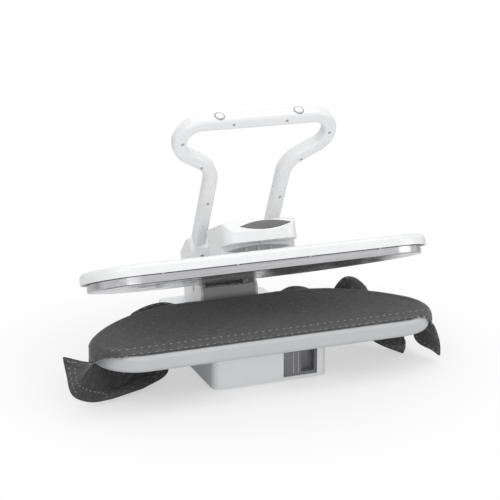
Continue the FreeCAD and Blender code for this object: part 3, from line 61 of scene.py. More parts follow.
# Board and tank, in metres
TRAY_LOW, TRAY_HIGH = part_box("board_tray")
TANK_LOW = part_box("water_tank")[0]
BOARD_MID_Y = (TRAY_LOW.y + TRAY_HIGH.y) / 2
BOARD_HALF = TRAY_HIGH.x
BOARD_DEPTH = TRAY_HIGH.y - TRAY_LOW.y
RIM_Z = TRAY_HIGH.z
FRONT_CORNER = 0.082
REAR_SWEEP = 0.261

# Insets of the inner rings of pad and fall, and points per arc of the board's plan
CAP_INSET = 0.078
CROWN_INSET = 0.05
PLAN_STEPS = 40
FALL_STEPS = 36
EDGE_STEPS = 90

# Swell of the pad's cover
PAD_RIPPLE = 0.03
PAD_SWELL = 0.0006
PAD_MIDDLE = 0.95

# Start of the cloth: how it lies on the pad, rolls over the rim, meets the table and is held
LAY_GAP = 0.0011
RIM_ROLL = 0.010
RIM_LAP = 0.004
TABLE_GAP = 0.004
INNER_HOLD = 0.020
FRONT_STRIP = 0.012
FRONT_LIFT = 0.0012
FRONT_RISE = 0.010
HEM_SLACK = 0.2
FAR_OFF = 1e9
TINY = 1e-12

# Hem of the cloth and rows of its stitches
HEM_WIDE = 0.009
HEM_FOLD = 1.4
SINGLE_SHARE = 0.62
ROW_INSET = 0.006
FRONT_ROWS = (0.005, 0.034)
LEFT_ROWS = (0.005, 0.013)
SECOND_ROW_LEFT = 0.025
SECOND_ROW_RIGHT = 0.010
STITCH_FEEL = 0.003
STITCH_PROUD = 0.55

# Small rounded bars for stitches and marks
BAR_SIDES = 6
BAR_RINGS = 5

# Level marks, from the tank's lower left front corner
MARK_LEFT = 0.0205
MARK_LOW = 0.007
MARK_COLUMN = 0.010
MARK_LONG = 0.0036
MARK_WIDE = 0.0020
MARK_PROUD = 0.0001

# Stage
TABLE_REACH = 9.0
TABLE_TONE = (0.86, 0.86, 0.87, 1.0)
WHITE = (1.0, 1.0, 1.0, 1.0)
NEAR_WHITE = 0.50
WHITE_STARTS = 0.22
WHITE_FULL = 0.62
SKY_STRENGTH = 0.52
CARD_LEFT, CARD_RIGHT = 0.17, 0.47
CARD_NEAR, CARD_FAR = 0.20, 0.52
CARD_Z = 0.002
LAMP_AIM = (0.0, 0.0, 0.2)
LAMPS = (("key", (-1.6, -1.5, 2.2), 1.6, 19.0), ("top", (0.3, 0.2, 2.6), 2.2, 25.0),
         ("fill", (2.2, -1.6, 1.0), 1.4, 11.0), ("front", (-0.5, -2.6, 0.55), 1.5, 13.0))
EYE = (-0.9393, -2.3909 + BOARD_MID_Y, 1.0076)
EYE_AIM = (-0.01383, BOARD_MID_Y, 0.2389)
FILM_MM = 36.0
LENS_MM = 104.56


def size(name, text, default):
    """A length that a user may change."""
    return FloatProperty(name=name, description=text, default=default, unit="LENGTH", precision=4)


def tint(name, text, default):
    """A colour that a user may change."""
    return FloatVectorProperty(name=name, description=text, default=default, subtype="COLOR", size=3,
                               min=0.0, max=1.0)


class PressSizes(bpy.types.PropertyGroup):
    """Sizes of the soft goods and the fine detail."""

    cloth_left: size("Cloth left", "Flat reach of the cloth left of the middle", 0.415)
    cloth_right: size("Cloth right", "Flat reach of the cloth right of the middle", 0.415)
    cloth_front: size("Cloth front", "Flat reach of the cloth in front of the board middle", 0.1205)
    cloth_rear: size("Cloth rear", "Flat reach of the cloth behind the board middle", 0.134)
    cloth_step: size("Cloth step", "Spacing of the cloth mesh", 0.0062)
    cloth_thick: size("Cloth thickness", "Thickness of the woven cloth", 0.0014)
    cloth_z: size("Cloth height", "Height of the cloth's lower face on the pad", 0.1083)
    stitch_long: size("Stitch length", "Length of one hem stitch", 0.0058)
    stitch_wide: size("Stitch width", "Thickness of the hem thread", 0.0015)
    stitch_pitch: size("Stitch pitch", "Distance from stitch to stitch", 0.0135)
    mark_pitch: size("Mark pitch", "Distance between level marks on the tank", 0.0052)
    mark_count: IntProperty(name="Marks", description="Number of level marks in a column on the tank",
                            default=10, min=2)


class PressColours(bpy.types.PropertyGroup):
    """Colours of the finishes."""

    white: tint("White", "White mouldings", (0.80, 0.805, 0.81))
    grey: tint("Grey", "Light grey mouldings", (0.50, 0.510, 0.514))
    # box: the grey moulding lightened, as painted light that makes up for the board's shade over the base
    box: tint("Box", "Pale grey box of the base", (0.74, 0.752, 0.757))
    dark: tint("Dark", "Dark grey mouldings", (0.17, 0.168, 0.17))
    # panel: the dark moulding lightened to mid grey, as painted light that makes up for the plate's shade
    # over the column
    panel: tint("Panel", "Grey front panel of the column", (0.42, 0.415, 0.415))
    # silver: darkened as painted shade for the strip in the shadow of the pod's lip; every silver trim gets
    # it
    silver: tint("Silver", "Silver paint", (0.30, 0.303, 0.31))
    steel: tint("Steel", "Plated steel", (0.52, 0.52, 0.53))
    plate: tint("Plate", "Polished heated plate", (0.50, 0.50, 0.51))
    rubber: tint("Rubber", "Black rubber", (0.022, 0.022, 0.023))
    smoke: tint("Smoke", "Smoked clear plastic", (0.33, 0.33, 0.34))
    lens: tint("Lens", "Dark display lens", (0.012, 0.012, 0.014))
    cloth: tint("Cloth", "Charcoal woven cloth", (0.066, 0.064, 0.066))
    thread: tint("Thread", "Pale hem thread", (0.40, 0.40, 0.395))
    mark: tint("Mark", "Pale paint of the level marks", (0.70, 0.70, 0.705))
    cover: tint("Pad cover", "Silver pad cover", (0.46, 0.46, 0.45))
    foam: tint("Foam", "Foam of the pad", (0.62, 0.58, 0.48))
    circuit: tint("Circuit", "Circuit board", (0.03, 0.14, 0.07))
    copper: tint("Copper", "Copper runs of the circuit boards", (0.30, 0.22, 0.08))
    hose: tint("Hose", "Silicone hose", (0.55, 0.55, 0.52))


def sizes():
    """The sizes in use."""
    return bpy.context.scene.press_sizes


def colours():
    """The colours in use."""
    return bpy.context.scene.press_colours


def shade(colour, factor):
    """A colour made darker or lighter."""
    return tuple(min(1.0, c * factor) for c in colour)


class Finish:
    """Node tree of one finish, with short calls for the nodes it needs."""

    def __init__(self, name):
        self.material = bpy.data.materials.new(name)
        self.material.use_nodes = True
        self.tree = self.material.node_tree
        self.shader = self.tree.nodes["Principled BSDF"]
        self.place = self.tree.nodes.new("ShaderNodeTexCoord").outputs["Object"]

    def node(self, kind, **values):
        """A new node with the given settings."""
        made = self.tree.nodes.new(kind)
        for key, value in values.items():
            setattr(made, key, value)
        return made

    def link(self, start, end):
        self.tree.links.new(start, end)

    def stretched(self, scale, source=None):
        """Coordinates scaled along each axis."""
        made = self.node("ShaderNodeMapping")
        made.inputs["Scale"].default_value = scale
        self.link(source or self.place, made.inputs["Vector"])
        return made.outputs["Vector"]

    def noise(self, scale, detail=3.0, source=None):
        """Soft noise, by default on the piece's own coordinates."""
        made = self.node("ShaderNodeTexNoise")
        made.inputs["Scale"].default_value = scale
        made.inputs["Detail"].default_value = detail
        self.link(source or self.place, made.inputs["Vector"])
        return made.outputs["Fac"]

    def spread(self, value, low, high, start=0.3, end=0.7):
        """A value mapped from the middle of its range to new ends."""
        made = self.node("ShaderNodeMapRange")
        for key, number in zip(("From Min", "From Max", "To Min", "To Max"), (start, end, low, high)):
            made.inputs[key].default_value = number
        self.link(value, made.inputs["Value"])
        return made.outputs["Result"]

    def blend(self, fac, first, second):
        """Two colours, or a colour and a socket, mixed by a value."""
        made = self.node("ShaderNodeMix", data_type="RGBA")
        for key, value in (("A", first), ("B", second)):
            socket = [s for s in made.inputs if s.name == key and s.type == "RGBA"][0]
            if isinstance(value, bpy.types.NodeSocket):
                self.link(value, socket)
            else:
                socket.default_value = (*value, 1.0)
        self.link(fac, made.inputs["Factor"])
        return [s for s in made.outputs if s.type == "RGBA"][0]

    def paint(self, socket):
        self.link(socket, self.shader.inputs["Base Color"])

    def clouds(self, colour, scale, low, high):
        """Paints the colour in soft clouds between two shares of its strength."""
        share = self.spread(self.noise(scale), 0.0, 1.0)
        self.paint(self.blend(share, shade(colour, low), shade(colour, high)))

    def rough(self, socket):
        self.link(socket, self.shader.inputs["Roughness"])

    def bump(self, height, strength, distance):
        """Fine relief from a value."""
        made = self.node("ShaderNodeBump")
        made.inputs["Strength"].default_value = strength
        made.inputs["Distance"].default_value = distance
        self.link(height, made.inputs["Height"])
        self.link(made.outputs["Normal"], self.shader.inputs["Normal"])

    def fixed(self, **values):
        """Sets plain numbers on the shader's own sockets."""
        for key, value in values.items():
            self.shader.inputs[key.replace("_", " ")].default_value = value


def moulded(name, colour, rough, grain, coat=0.0):
    """Moulded plastic with a faint cloudiness, handling marks and a fine grain."""
    made = Finish(name)
    made.clouds(colour, 9.0, 0.98, 1.01)
    made.rough(made.spread(made.noise(38.0, 3.0), rough - 0.02, rough + 0.05))
    made.bump(made.noise(grain, 2.0), 0.04, 0.00006)
    made.fixed(Coat_Weight=coat, Coat_Roughness=0.08)
    return made.material


def painted(name, colour, rough, metallic=0.0):
    """Sprayed paint with orange peel."""
    made = Finish(name)
    made.clouds(colour, 14.0, 0.95, 1.03)
    made.rough(made.spread(made.noise(60.0, 4.0), rough - 0.06, rough + 0.08))
    made.bump(made.noise(420.0, 2.0), 0.12, 0.00015)
    made.fixed(Metallic=metallic)
    return made.material


def brushed(name, colour, rough, scale):
    """Bare metal with drawn lines and faint stains."""
    made = Finish(name)
    lines = made.noise(1.0, 3.0, made.stretched(scale))
    made.paint(made.blend(made.spread(lines, 0.0, 1.0), shade(colour, 0.88), shade(colour, 1.06)))
    made.rough(made.spread(made.noise(24.0, 4.0), rough - 0.07, rough + 0.1))
    made.bump(lines, 0.08, 0.0001)
    made.fixed(Metallic=1.0)
    return made.material


def polished(name, colour, rough):
    """Polished casting with soft clouds and fine rub marks."""
    made = Finish(name)
    made.clouds(colour, 11.0, 0.90, 1.05)
    rubs = made.noise(1.0, 3.0, made.stretched((6.0, 380.0, 380.0)))
    made.rough(made.spread(rubs, rough - 0.06, rough + 0.06))
    made.bump(made.noise(22.0, 2.0), 0.05, 0.0004)
    made.fixed(Metallic=1.0)
    return made.material


def grained(name, colour, rough, scale):
    """Rubber or foam with an open grain."""
    made = Finish(name)
    made.clouds(colour, scale * 0.2, 0.8, 1.2)
    made.rough(made.spread(made.noise(scale * 0.5), rough - 0.08, rough + 0.08))
    made.bump(made.noise(scale, 4.0), 0.3, 0.0003)
    return made.material


def clear(name, colour, rough, weight):
    """Smoked clear plastic with flow marks."""
    made = Finish(name)
    made.clouds(colour, 18.0, 0.85, 1.15)
    made.rough(made.spread(made.noise(70.0), rough, rough + 0.1))
    made.bump(made.noise(90.0), 0.05, 0.0002)
    made.fixed(Transmission_Weight=weight, IOR=1.49)
    return made.material


def lens_gloss(name, colour):
    """Dark glossy lens with a barely wavy face and finger smears."""
    made = Finish(name)
    made.clouds(colour, 30.0, 0.6, 1.8)
    made.rough(made.spread(made.noise(45.0, 5.0), 0.04, 0.16))
    made.bump(made.noise(55.0), 0.2, 0.0006)
    made.fixed(Coat_Weight=0.5, Coat_Roughness=0.03)
    return made.material


def traced(name, colour, copper):
    """Circuit board with copper runs under its lacquer."""
    made = Finish(name)
    runs = made.node("ShaderNodeTexBrick")
    runs.inputs["Scale"].default_value = 60.0
    runs.inputs["Mortar Size"].default_value = 0.05
    made.link(made.place, runs.inputs["Vector"])
    made.paint(made.blend(runs.outputs["Fac"], colour, copper))
    made.rough(made.spread(made.noise(80.0), 0.25, 0.45))
    made.bump(runs.outputs["Fac"], 0.2, 0.0002)
    return made.material


def woven(name, colour, pitch, contrast, sheen):
    """Plain weave that follows the piece's own flat map, with slubs and worn patches."""
    made = Finish(name)
    flat = made.node("ShaderNodeUVMap", uv_map="flat").outputs["UV"]
    fields = []
    for direction in ("X", "Y"):
        wave = made.node("ShaderNodeTexWave", wave_type="BANDS", bands_direction=direction,
                         wave_profile="SIN")
        wave.inputs["Scale"].default_value = 1.0 / pitch / math.tau * 2.0
        wave.inputs["Distortion"].default_value = 1.2
        wave.inputs["Detail"].default_value = 1.0
        wave.inputs["Detail Scale"].default_value = 0.6
        made.link(flat, wave.inputs["Vector"])
        fields.append(wave.outputs["Fac"])
    cross = made.node("ShaderNodeMath", operation="MULTIPLY")
    for field, socket in zip(fields, cross.inputs):
        made.link(field, socket)
    slub = made.noise(1.0, 3.0, made.stretched((60.0, 300.0, 1.0), flat))
    slub_across = made.noise(1.0, 3.0, made.stretched((300.0, 60.0, 1.0), flat))
    worn = made.noise(7.0, 4.0, flat)
    thread = made.blend(cross.outputs["Value"], shade(colour, 1.0 - contrast),
                        shade(colour, 1.0 + contrast))
    streak = made.blend(made.spread(slub, 0.0, 0.9, 0.42, 0.66), thread, shade(colour, 1.9))
    streak = made.blend(made.spread(slub_across, 0.0, 0.8, 0.45, 0.68), streak, shade(colour, 0.4))
    made.paint(made.blend(made.spread(worn, 0.0, 0.45, 0.4, 0.65), streak, shade(colour, 1.5)))
    made.rough(made.spread(worn, 0.82, 0.95))
    made.bump(cross.outputs["Value"], 0.5, 0.0004)
    made.fixed(Sheen_Weight=sheen, Sheen_Roughness=0.5, Specular_IOR_Level=0.2)
    return made.material


def finishes():
    """One finish for each material slot of the record, and for each node with a finish of its own."""
    tone = colours()
    return {
        "white_plastic": moulded("white_moulding", tone.white, 0.26, 1400.0, 0.35),
        "grey_plastic": moulded("grey_moulding", tone.grey, 0.38, 1800.0, 0.1),
        "dark_panel": moulded("dark_moulding", tone.dark, 0.42, 2200.0),
        "white_paint": painted("white_coat", tone.white, 0.36),
        # silver coat darkened overall: painted shade for the strip under the pod's lip
        "silver_trim": painted("silver_coat_painted_shade", tone.silver, 0.34, 0.6),
        "steel": brushed("plated_steel", tone.steel, 0.34, (30.0, 900.0, 900.0)),
        "aluminium": polished("polished_plate", tone.plate, 0.13),
        "rubber": grained("black_rubber", tone.rubber, 0.75, 900.0),
        "smoked": clear("smoked_plastic", tone.smoke, 0.08, 0.55),
        "dark_lens": lens_gloss("display_lens", tone.lens),
        "charcoal_cloth": woven("charcoal_weave", tone.cloth, 0.0021, 0.35, 0.25),
        "silver_cloth": woven("pad_weave", tone.cover, 0.0014, 0.25, 0.1),
        # the base box is a lighter copy of the grey moulding: painted light against the board's shade
        "base_housing": moulded("box_moulding_painted_light", tone.box, 0.40, 1800.0, 0.1),
        # the column panel is a lighter copy of the dark moulding: painted light against the plate's shade
        "column_front_panel": moulded("panel_moulding_painted_light", tone.panel, 0.42, 2200.0),
        "platen": brushed("sole_metal", tone.plate, 0.17, (5.0, 300.0, 300.0)),
        "foam": grained("pad_foam", tone.foam, 0.9, 700.0),
        "circuit": traced("circuit_board", tone.circuit, tone.copper),
        "hose": moulded("silicone", tone.hose, 0.5, 700.0),
    }


def finish_for(slot, node=""):
    """The finish of a node or of its slot, made once."""
    made = bpy.context.scene.get("press_finishes")
    if made is None:
        made = {key: material.name for key, material in finishes().items()}
        bpy.context.scene["press_finishes"] = made
    return bpy.data.materials[made.get(node, made[slot])]


def outline(grow, steps):
    """Plan of the board as points, anticlockwise from the front middle, grown all round."""
    rise = REAR_SWEEP + FRONT_CORNER - BOARD_DEPTH
    run = math.sqrt((REAR_SWEEP - FRONT_CORNER) ** 2 - rise ** 2)
    meet = math.atan2(rise, run)
    front_x = BOARD_HALF - FRONT_CORNER
    arcs = ((front_x, FRONT_CORNER - BOARD_DEPTH / 2, FRONT_CORNER + grow, -math.pi / 2, meet),
            (front_x - run, BOARD_DEPTH / 2 - REAR_SWEEP, REAR_SWEEP + grow, meet, math.pi / 2))
    right = []
    for cx, cy, radius, start, end in arcs:
        for i in range(steps):
            turn = start + (end - start) * i / steps
            right.append((cx + radius * math.cos(turn), cy + radius * math.sin(turn)))
    right.append((front_x - run, BOARD_DEPTH / 2 + grow))
    left = [(-x, y) for x, y in reversed(right)]
    return np.array([(x, y + BOARD_MID_Y) for x, y in right + left])


def rings_mesh(name, rings):
    """Closed mesh from stacked rings of equal count, capped at both ends."""
    work = bmesh.new()
    rows = [[work.verts.new(point) for point in ring] for ring in rings]
    count = len(rows[0])
    for low, high in zip(rows, rows[1:]):
        for i in range(count):
            j = (i + 1) % count
            work.faces.new((low[i], low[j], high[j], high[i]))
    work.faces.new(list(reversed(rows[0])))
    work.faces.new(rows[-1])
    bmesh.ops.recalc_face_normals(work, faces=work.faces)
    mesh = bpy.data.meshes.new(name)
    work.to_mesh(mesh)
    work.free()
    return mesh


def boat_rings(profile, steps):
    """Rings of the board's plan for (grow, height) pairs."""
    return [[(x, y, z) for x, y in outline(grow, steps)] for grow, z in profile]


def add_object(name, mesh):
    """A new object in the scene, at the origin."""
    made = bpy.data.objects.new(name, mesh)
    bpy.context.scene.collection.objects.link(made)
    return made


def smooth(mesh):
    """Shades all faces smooth."""
    mesh.polygons.foreach_set("use_smooth", [True] * len(mesh.polygons))


def flat_map(mesh, coordinates):
    """Writes flat coordinates in metres to the piece's own map."""
    layer = mesh.uv_layers.new(name="flat")
    for loop in mesh.loops:
        layer.data[loop.index].uv = coordinates[loop.vertex_index]


def flat_mesh(name, left, right, near, far, z):
    """Flat rectangle that faces up."""
    mesh = bpy.data.meshes.new(name)
    corners = [(left, near, z), (right, near, z), (right, far, z), (left, far, z)]
    mesh.from_pydata(corners, [], [(0, 1, 2, 3)])
    return mesh


def settled(obj, name):
    """Plain mesh of an object with all its modifiers applied."""
    graph = bpy.context.evaluated_depsgraph_get()
    graph.update()
    mesh = bpy.data.meshes.new_from_object(obj.evaluated_get(graph))
    mesh.name = name
    return mesh


class PRESS_OT_finishes(bpy.types.Operator):
    """Gives every rigid piece of the press its finish"""

    bl_idname = "press.finishes"
    bl_label = "Finishes"

    def execute(self, context):
        for entry in frame["record"]["subparts"]:
            node = frame["nodes"][entry["node"]]
            node.data.materials.clear()
            node.data.materials.append(finish_for(entry["material_slot"], entry["node"]))
        return {"FINISHED"}


class PRESS_OT_pad(bpy.types.Operator):
    """Builds the covered pad that lies in the board"""

    bl_idname = "press.pad"
    bl_label = "Pad"

    def execute(self, context):
        low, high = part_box("board_cover")
        edge = low.x + BOARD_HALF
        top = high.z
        profile = [(-CAP_INSET, low.z), (-edge - 0.004, low.z), (-edge - 0.0008, low.z + 0.001),
                   (-edge, low.z + 0.0024), (-edge, top - 0.0034), (-edge - 0.0012, top - 0.0016),
                   (-edge - 0.004, top - 0.0005), (-edge - 0.012, top), (-CROWN_INSET, top),
                   (-CAP_INSET, top)]
        mesh = rings_mesh("padded_bed", boat_rings(profile, PLAN_STEPS))
        pad = add_object("padded_bed", mesh)
        ripple = bpy.data.textures.new("pad_ripple", "CLOUDS")
        ripple.noise_scale = PAD_RIPPLE
        swell = pad.modifiers.new("swell", "DISPLACE")
        swell.texture = ripple
        swell.strength = PAD_SWELL
        swell.mid_level = PAD_MIDDLE
        pad.data = settled(pad, "padded_bed")
        pad.modifiers.clear()
        flat_map(pad.data, [(v.co.x, v.co.y + v.co.z) for v in pad.data.vertices])
        smooth(pad.data)
        pad.data.materials.append(finish_for("silver_cloth"))
        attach(pad, "base")
        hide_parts("foam_pad", "board_cover")
        return {"FINISHED"}


def cloth_grid():
    """Flat grid of the cloth, as columns, rows and points about the board's middle."""
    s = sizes()
    columns = int(round((s.cloth_left + s.cloth_right) / s.cloth_step)) + 1
    rows = int(round((s.cloth_front + s.cloth_rear) / s.cloth_step)) + 1
    xs = np.linspace(-s.cloth_left, s.cloth_right, columns)
    ys = np.linspace(-s.cloth_front, s.cloth_rear, rows)
    grid = np.stack(np.meshgrid(xs, ys, indexing="ij"), -1).reshape(-1, 2)
    return columns, rows, grid


def beyond(points):
    """How far flat points lie outside the board's plan, with the nearest edge point and the way out."""
    edge = outline(0.0, EDGE_STEPS) - [0.0, BOARD_MID_Y]
    following = np.roll(edge, -1, 0)
    along = following - edge
    best = np.full(len(points), FAR_OFF)
    foot = np.zeros((len(points), 2))
    for a, d in zip(edge, along):
        k = np.clip(((points - a) @ d) / (d @ d + TINY), 0.0, 1.0)
        p = a + k[:, None] * d
        gap = np.linalg.norm(points - p, axis=1)
        nearer = gap < best
        best = np.where(nearer, gap, best)
        foot = np.where(nearer[:, None], p, foot)
    crossings = np.zeros(len(points), int)
    for a, b in zip(edge, following):
        spans = (a[1] > points[:, 1]) != (b[1] > points[:, 1])
        rise = b[1] - a[1]
        if spans.any() and abs(rise) > TINY:
            crossings += spans & (points[:, 0] < (b[0] - a[0]) * (points[:, 1] - a[1]) / rise + a[0])
    inside = crossings % 2 == 1
    out = np.where(inside, -best, best)
    direction = np.where(inside[:, None], foot - points, points - foot)
    length = np.linalg.norm(direction, axis=1, keepdims=True)
    return out, foot, direction / np.maximum(length, 1e-9)


def first_drape(grid):
    """Starting shape of the cloth: flat on the pad, over the rim, straight down and in along the table."""
    s = sizes()
    out, foot, direction = beyond(grid)
    lay = s.cloth_z + s.cloth_thick / 2
    turn = np.clip((out + RIM_LAP) / RIM_ROLL, 0.0, math.pi / 2)
    rolled = RIM_ROLL * np.sin(turn) - RIM_LAP
    drop = RIM_ROLL * (1.0 - np.cos(turn))
    hang = np.clip(out + RIM_LAP - RIM_ROLL * math.pi / 2, 0.0, None)
    limit = lay - RIM_ROLL - TABLE_GAP
    along_table = np.clip(hang - limit, 0.0, None)
    hang = np.minimum(hang, limit)
    place = np.zeros((len(grid), 3))
    hanging = out > -RIM_LAP
    hung = foot + direction * (rolled - along_table)[:, None]
    place[:, :2] = np.where(hanging[:, None], hung, grid)
    place[:, 2] = np.where(hanging, lay - drop - hang, lay)
    return place, out


def along_path(stops, run):
    """Point on a smooth path through stops, each a flat distance and a place, for a flat distance."""
    runs = [stop[0] for stop in stops]
    places = np.array([stop[1] for stop in stops])
    i = int(np.clip(np.searchsorted(runs, run) - 1, 0, len(runs) - 2))
    slopes = np.gradient(places, np.array(runs), axis=0)
    span = runs[i + 1] - runs[i]
    k = (run - runs[i]) / span
    return ((1 + 2 * k) * (1 - k) ** 2 * places[i] + k * (1 - k) ** 2 * span * slopes[i]
            + k * k * (3 - 2 * k) * places[i + 1] + k * k * (k - 1) * span * slopes[i + 1])


# Held hems: flat distance along the hem from its corner, and the place about the board's middle
LEFT_CORNER = (0.0, (-0.397, -0.099, 0.117))
LEFT_FRONT_HEM = (LEFT_CORNER, (0.055, (-0.346, -0.106, 0.1025)), (0.080, (-0.329, -0.106, 0.1087)),
                  (0.153, (-0.262, -0.1195, 0.1084)))
LEFT_HEM = (LEFT_CORNER, (0.033, (-0.391, -0.096, 0.085)), (0.098, (-0.370, -0.076, 0.027)),
            (0.123, (-0.349, -0.076, 0.0175)), (0.172, (-0.303, -0.060, 0.010)),
            (0.206, (-0.272, -0.052, 0.0120)), (0.2545, (-0.233, -0.033, 0.0105)))
LEFT_REAR_HEM = ((0.0, (-0.233, -0.033, 0.0105)), (0.062, (-0.180, -0.010, 0.025)),
                 (0.124, (-0.168, 0.045, 0.052)))
RIGHT_CORNER = (0.0, (0.344, -0.086, 0.0115))
RIGHT_FRONT_HEM = (RIGHT_CORNER, (0.020, (0.3435, -0.086, 0.0305)), (0.045, (0.337, -0.088, 0.054)),
                   (0.072, (0.325, -0.093, 0.077)), (0.099, (0.308, -0.104, 0.095)),
                   (0.122, (0.290, -0.111, 0.1078)), (0.153, (0.262, -0.1195, 0.1084)))
RIGHT_HEM = (RIGHT_CORNER, (0.0273, (0.338, -0.060, 0.017)), (0.0503, (0.328, -0.040, 0.020)),
             (0.0707, (0.326, -0.020, 0.024)), (0.125, (0.322, 0.0, 0.068)),
             (0.186, (0.314, 0.017, 0.019)), (0.2045, (0.321, 0.016, 0.003)),
             (0.2545, (0.296, -0.027, 0.003)))
RIGHT_REAR_HEM = ((0.0, (0.296, -0.027, 0.003)), (0.050, (0.258, -0.004, 0.018)),
                  (0.110, (0.222, 0.030, 0.040)))
# Humps of the rear hem: flat place, lifted place, reach left, right and to the front, fall along and across
HUMPS = (((0.240, 0.134), (0.240, 0.120, 0.1225), (0.0365, 0.052, 0.019), (0.040, 0.0105)),
         ((0.127, 0.134), (0.127, 0.1325, 0.1112), (0.034, 0.045, 0.012), (0.014, 0.003)),
         ((-0.148, 0.134), (-0.148, 0.1305, 0.1112), (0.066, 0.050, 0.012), (0.020, 0.003)))
HUMP_DRAW = 0.85
# How far past the board's edge the pull of a held hem begins, over the rim and under the tray
OVER_RIM = 0.006
UNDER_TRAY = 0.036
PULL_POWER = -3.0
# Least height of the fallen cloth's middle over the table
LEAST_LIFT = 0.0017


def hem_place(x, y):
    """Place of a held hem point and how far past the edge its pull begins, or nothing for a free point."""
    s = sizes()
    left, right = x + s.cloth_left, s.cloth_right - x
    front, rear = y + s.cloth_front, s.cloth_rear - y
    hems = ((front, left, LEFT_FRONT_HEM, OVER_RIM),
            (left, front, LEFT_HEM, UNDER_TRAY),
            (rear, left, LEFT_REAR_HEM, UNDER_TRAY),
            (front, right, RIGHT_FRONT_HEM, OVER_RIM),
            (right, front, RIGHT_HEM, UNDER_TRAY),
            (rear, right, RIGHT_REAR_HEM, UNDER_TRAY))
    thin = s.cloth_step * HEM_SLACK
    for edge, run, path, onset in hems:
        if edge < thin and run < path[-1][0] + thin:
            return along_path(path, run), onset
    return None


def held_hems(grid, start, out):
    """Held places of the stiff hems, by number, and a smooth start that leads the free cloth to them."""
    held, onsets = {}, {}
    for index, (x, y) in enumerate(grid):
        found = hem_place(x, y)
        if found:
            held[index], onsets[index] = found
    keys = list(held)
    pull = np.array([held[k] - start[k] for k in keys])
    onset = np.array([onsets[k] for k in keys])
    led = start.copy()
    for index in np.where(out > 0.0)[0]:
        gap = np.linalg.norm(grid[keys] - grid[index], axis=1) + 1e-6
        past = np.clip(out[index] - onset, 0.0, None)
        share = past / (past + gap)
        weight = gap ** PULL_POWER
        led[index] = start[index] + (pull * (share * weight)[:, None]).sum(0) / weight.sum()
    for index, place in held.items():
        led[index] = place
    return held, led


def held_humps(grid):
    """Held places of the humps along the rear hem, by number."""
    held = {}
    for index, (x, y) in enumerate(grid):
        for flat_place, lifted, reach, fall in HUMPS:
            dx, dy = x - flat_place[0], y - flat_place[1]
            along = (dx / reach[0 if dx < 0.0 else 1]) ** 2
            across = (dy / reach[2]) ** 2
            if along + across < 1.0:
                held[index] = np.array(lifted) + (dx, HUMP_DRAW * dy, -fall[0] * along - fall[1] * across)
    return held


def board_collider():
    """Solid that the cloth falls on: tray, rim and pad."""
    low = TRAY_LOW.z
    top = sizes().cloth_z - LAY_GAP
    profile = [(-0.009, low), (-0.0035, low + 0.002), (-0.0008, low + 0.005), (0.0, low + 0.009),
               (0.0, RIM_Z - 0.009), (-0.0007, RIM_Z - 0.0055), (-0.0026, RIM_Z - 0.0026),
               (-0.0055, RIM_Z - 0.0007), (-0.009, RIM_Z), (-0.0115, top), (-CROWN_INSET, top),
               (-CAP_INSET, top)]
    return add_object("board_fall", rings_mesh("board_fall", boat_rings(profile, FALL_STEPS)))


def table_collider():
    """Table top under the cloth."""
    return add_object("table_fall", flat_mesh("table_fall", -1.0, 1.0, -1.0, 1.0, 0.0))


# Cloth fall: stiffness and weight of the weave, and how closely it meets board, table and itself
FALL_FRAMES = 56
WEAVE = {"quality": 9, "mass": 0.25, "tension_stiffness": 22.0, "compression_stiffness": 22.0,
         "shear_stiffness": 8.0, "bending_stiffness": 2.2, "air_damping": 2.0, "pin_stiffness": 1.0}
TOUCH = {"distance_min": 0.0012, "collision_quality": 3, "use_self_collision": True,
         "self_distance_min": 0.002}
STOP_SKIN = 0.0008
STOP_GRIP = 12.0


def set_all(owner, values):
    """Sets named values on one of Blender's settings blocks."""
    for key, value in values.items():
        setattr(owner, key, value)


def drop_cloth(obj, flat, pins):
    """Lets the cloth fall on board and table and keeps the fallen mesh."""
    colliders = [board_collider(), table_collider()]
    for collider in colliders:
        collider.modifiers.new("stop", "COLLISION")
        collider.collision.thickness_outer = STOP_SKIN
        collider.collision.cloth_friction = STOP_GRIP
    obj.shape_key_add(name="start")
    key = obj.shape_key_add(name="cut")
    key.data.foreach_set("co", flat.ravel())
    key.value = 0.0
    group = obj.vertex_groups.new(name="held")
    group.add([int(index) for index in sorted(pins)], 1.0, "REPLACE")
    fall = obj.modifiers.new("fall", "CLOTH")
    set_all(fall.settings, WEAVE)
    set_all(fall.collision_settings, TOUCH)
    fall.settings.rest_shape_key = key
    fall.settings.vertex_group_mass = "held"
    scene = bpy.context.scene
    for span in (scene, fall.point_cache):
        span.frame_start = 1
        span.frame_end = FALL_FRAMES
    for number in range(1, FALL_FRAMES + 1):
        scene.frame_set(number)
    fallen = settled(obj, "fallen")
    scene.frame_set(1)
    points = np.empty(len(fallen.vertices) * 3)
    fallen.vertices.foreach_get("co", points)
    bpy.data.meshes.remove(fallen)
    for collider in colliders:
        bpy.data.objects.remove(collider)
    points = points.reshape(-1, 3)
    points[:, 2] = np.maximum(points[:, 2], LEAST_LIFT)
    return points


def grid_faces(columns, rows):
    """Faces of a grid whose points run along its columns."""
    return [(c * rows + r, (c + 1) * rows + r, (c + 1) * rows + r + 1, c * rows + r + 1)
            for c in range(columns - 1) for r in range(rows - 1)]


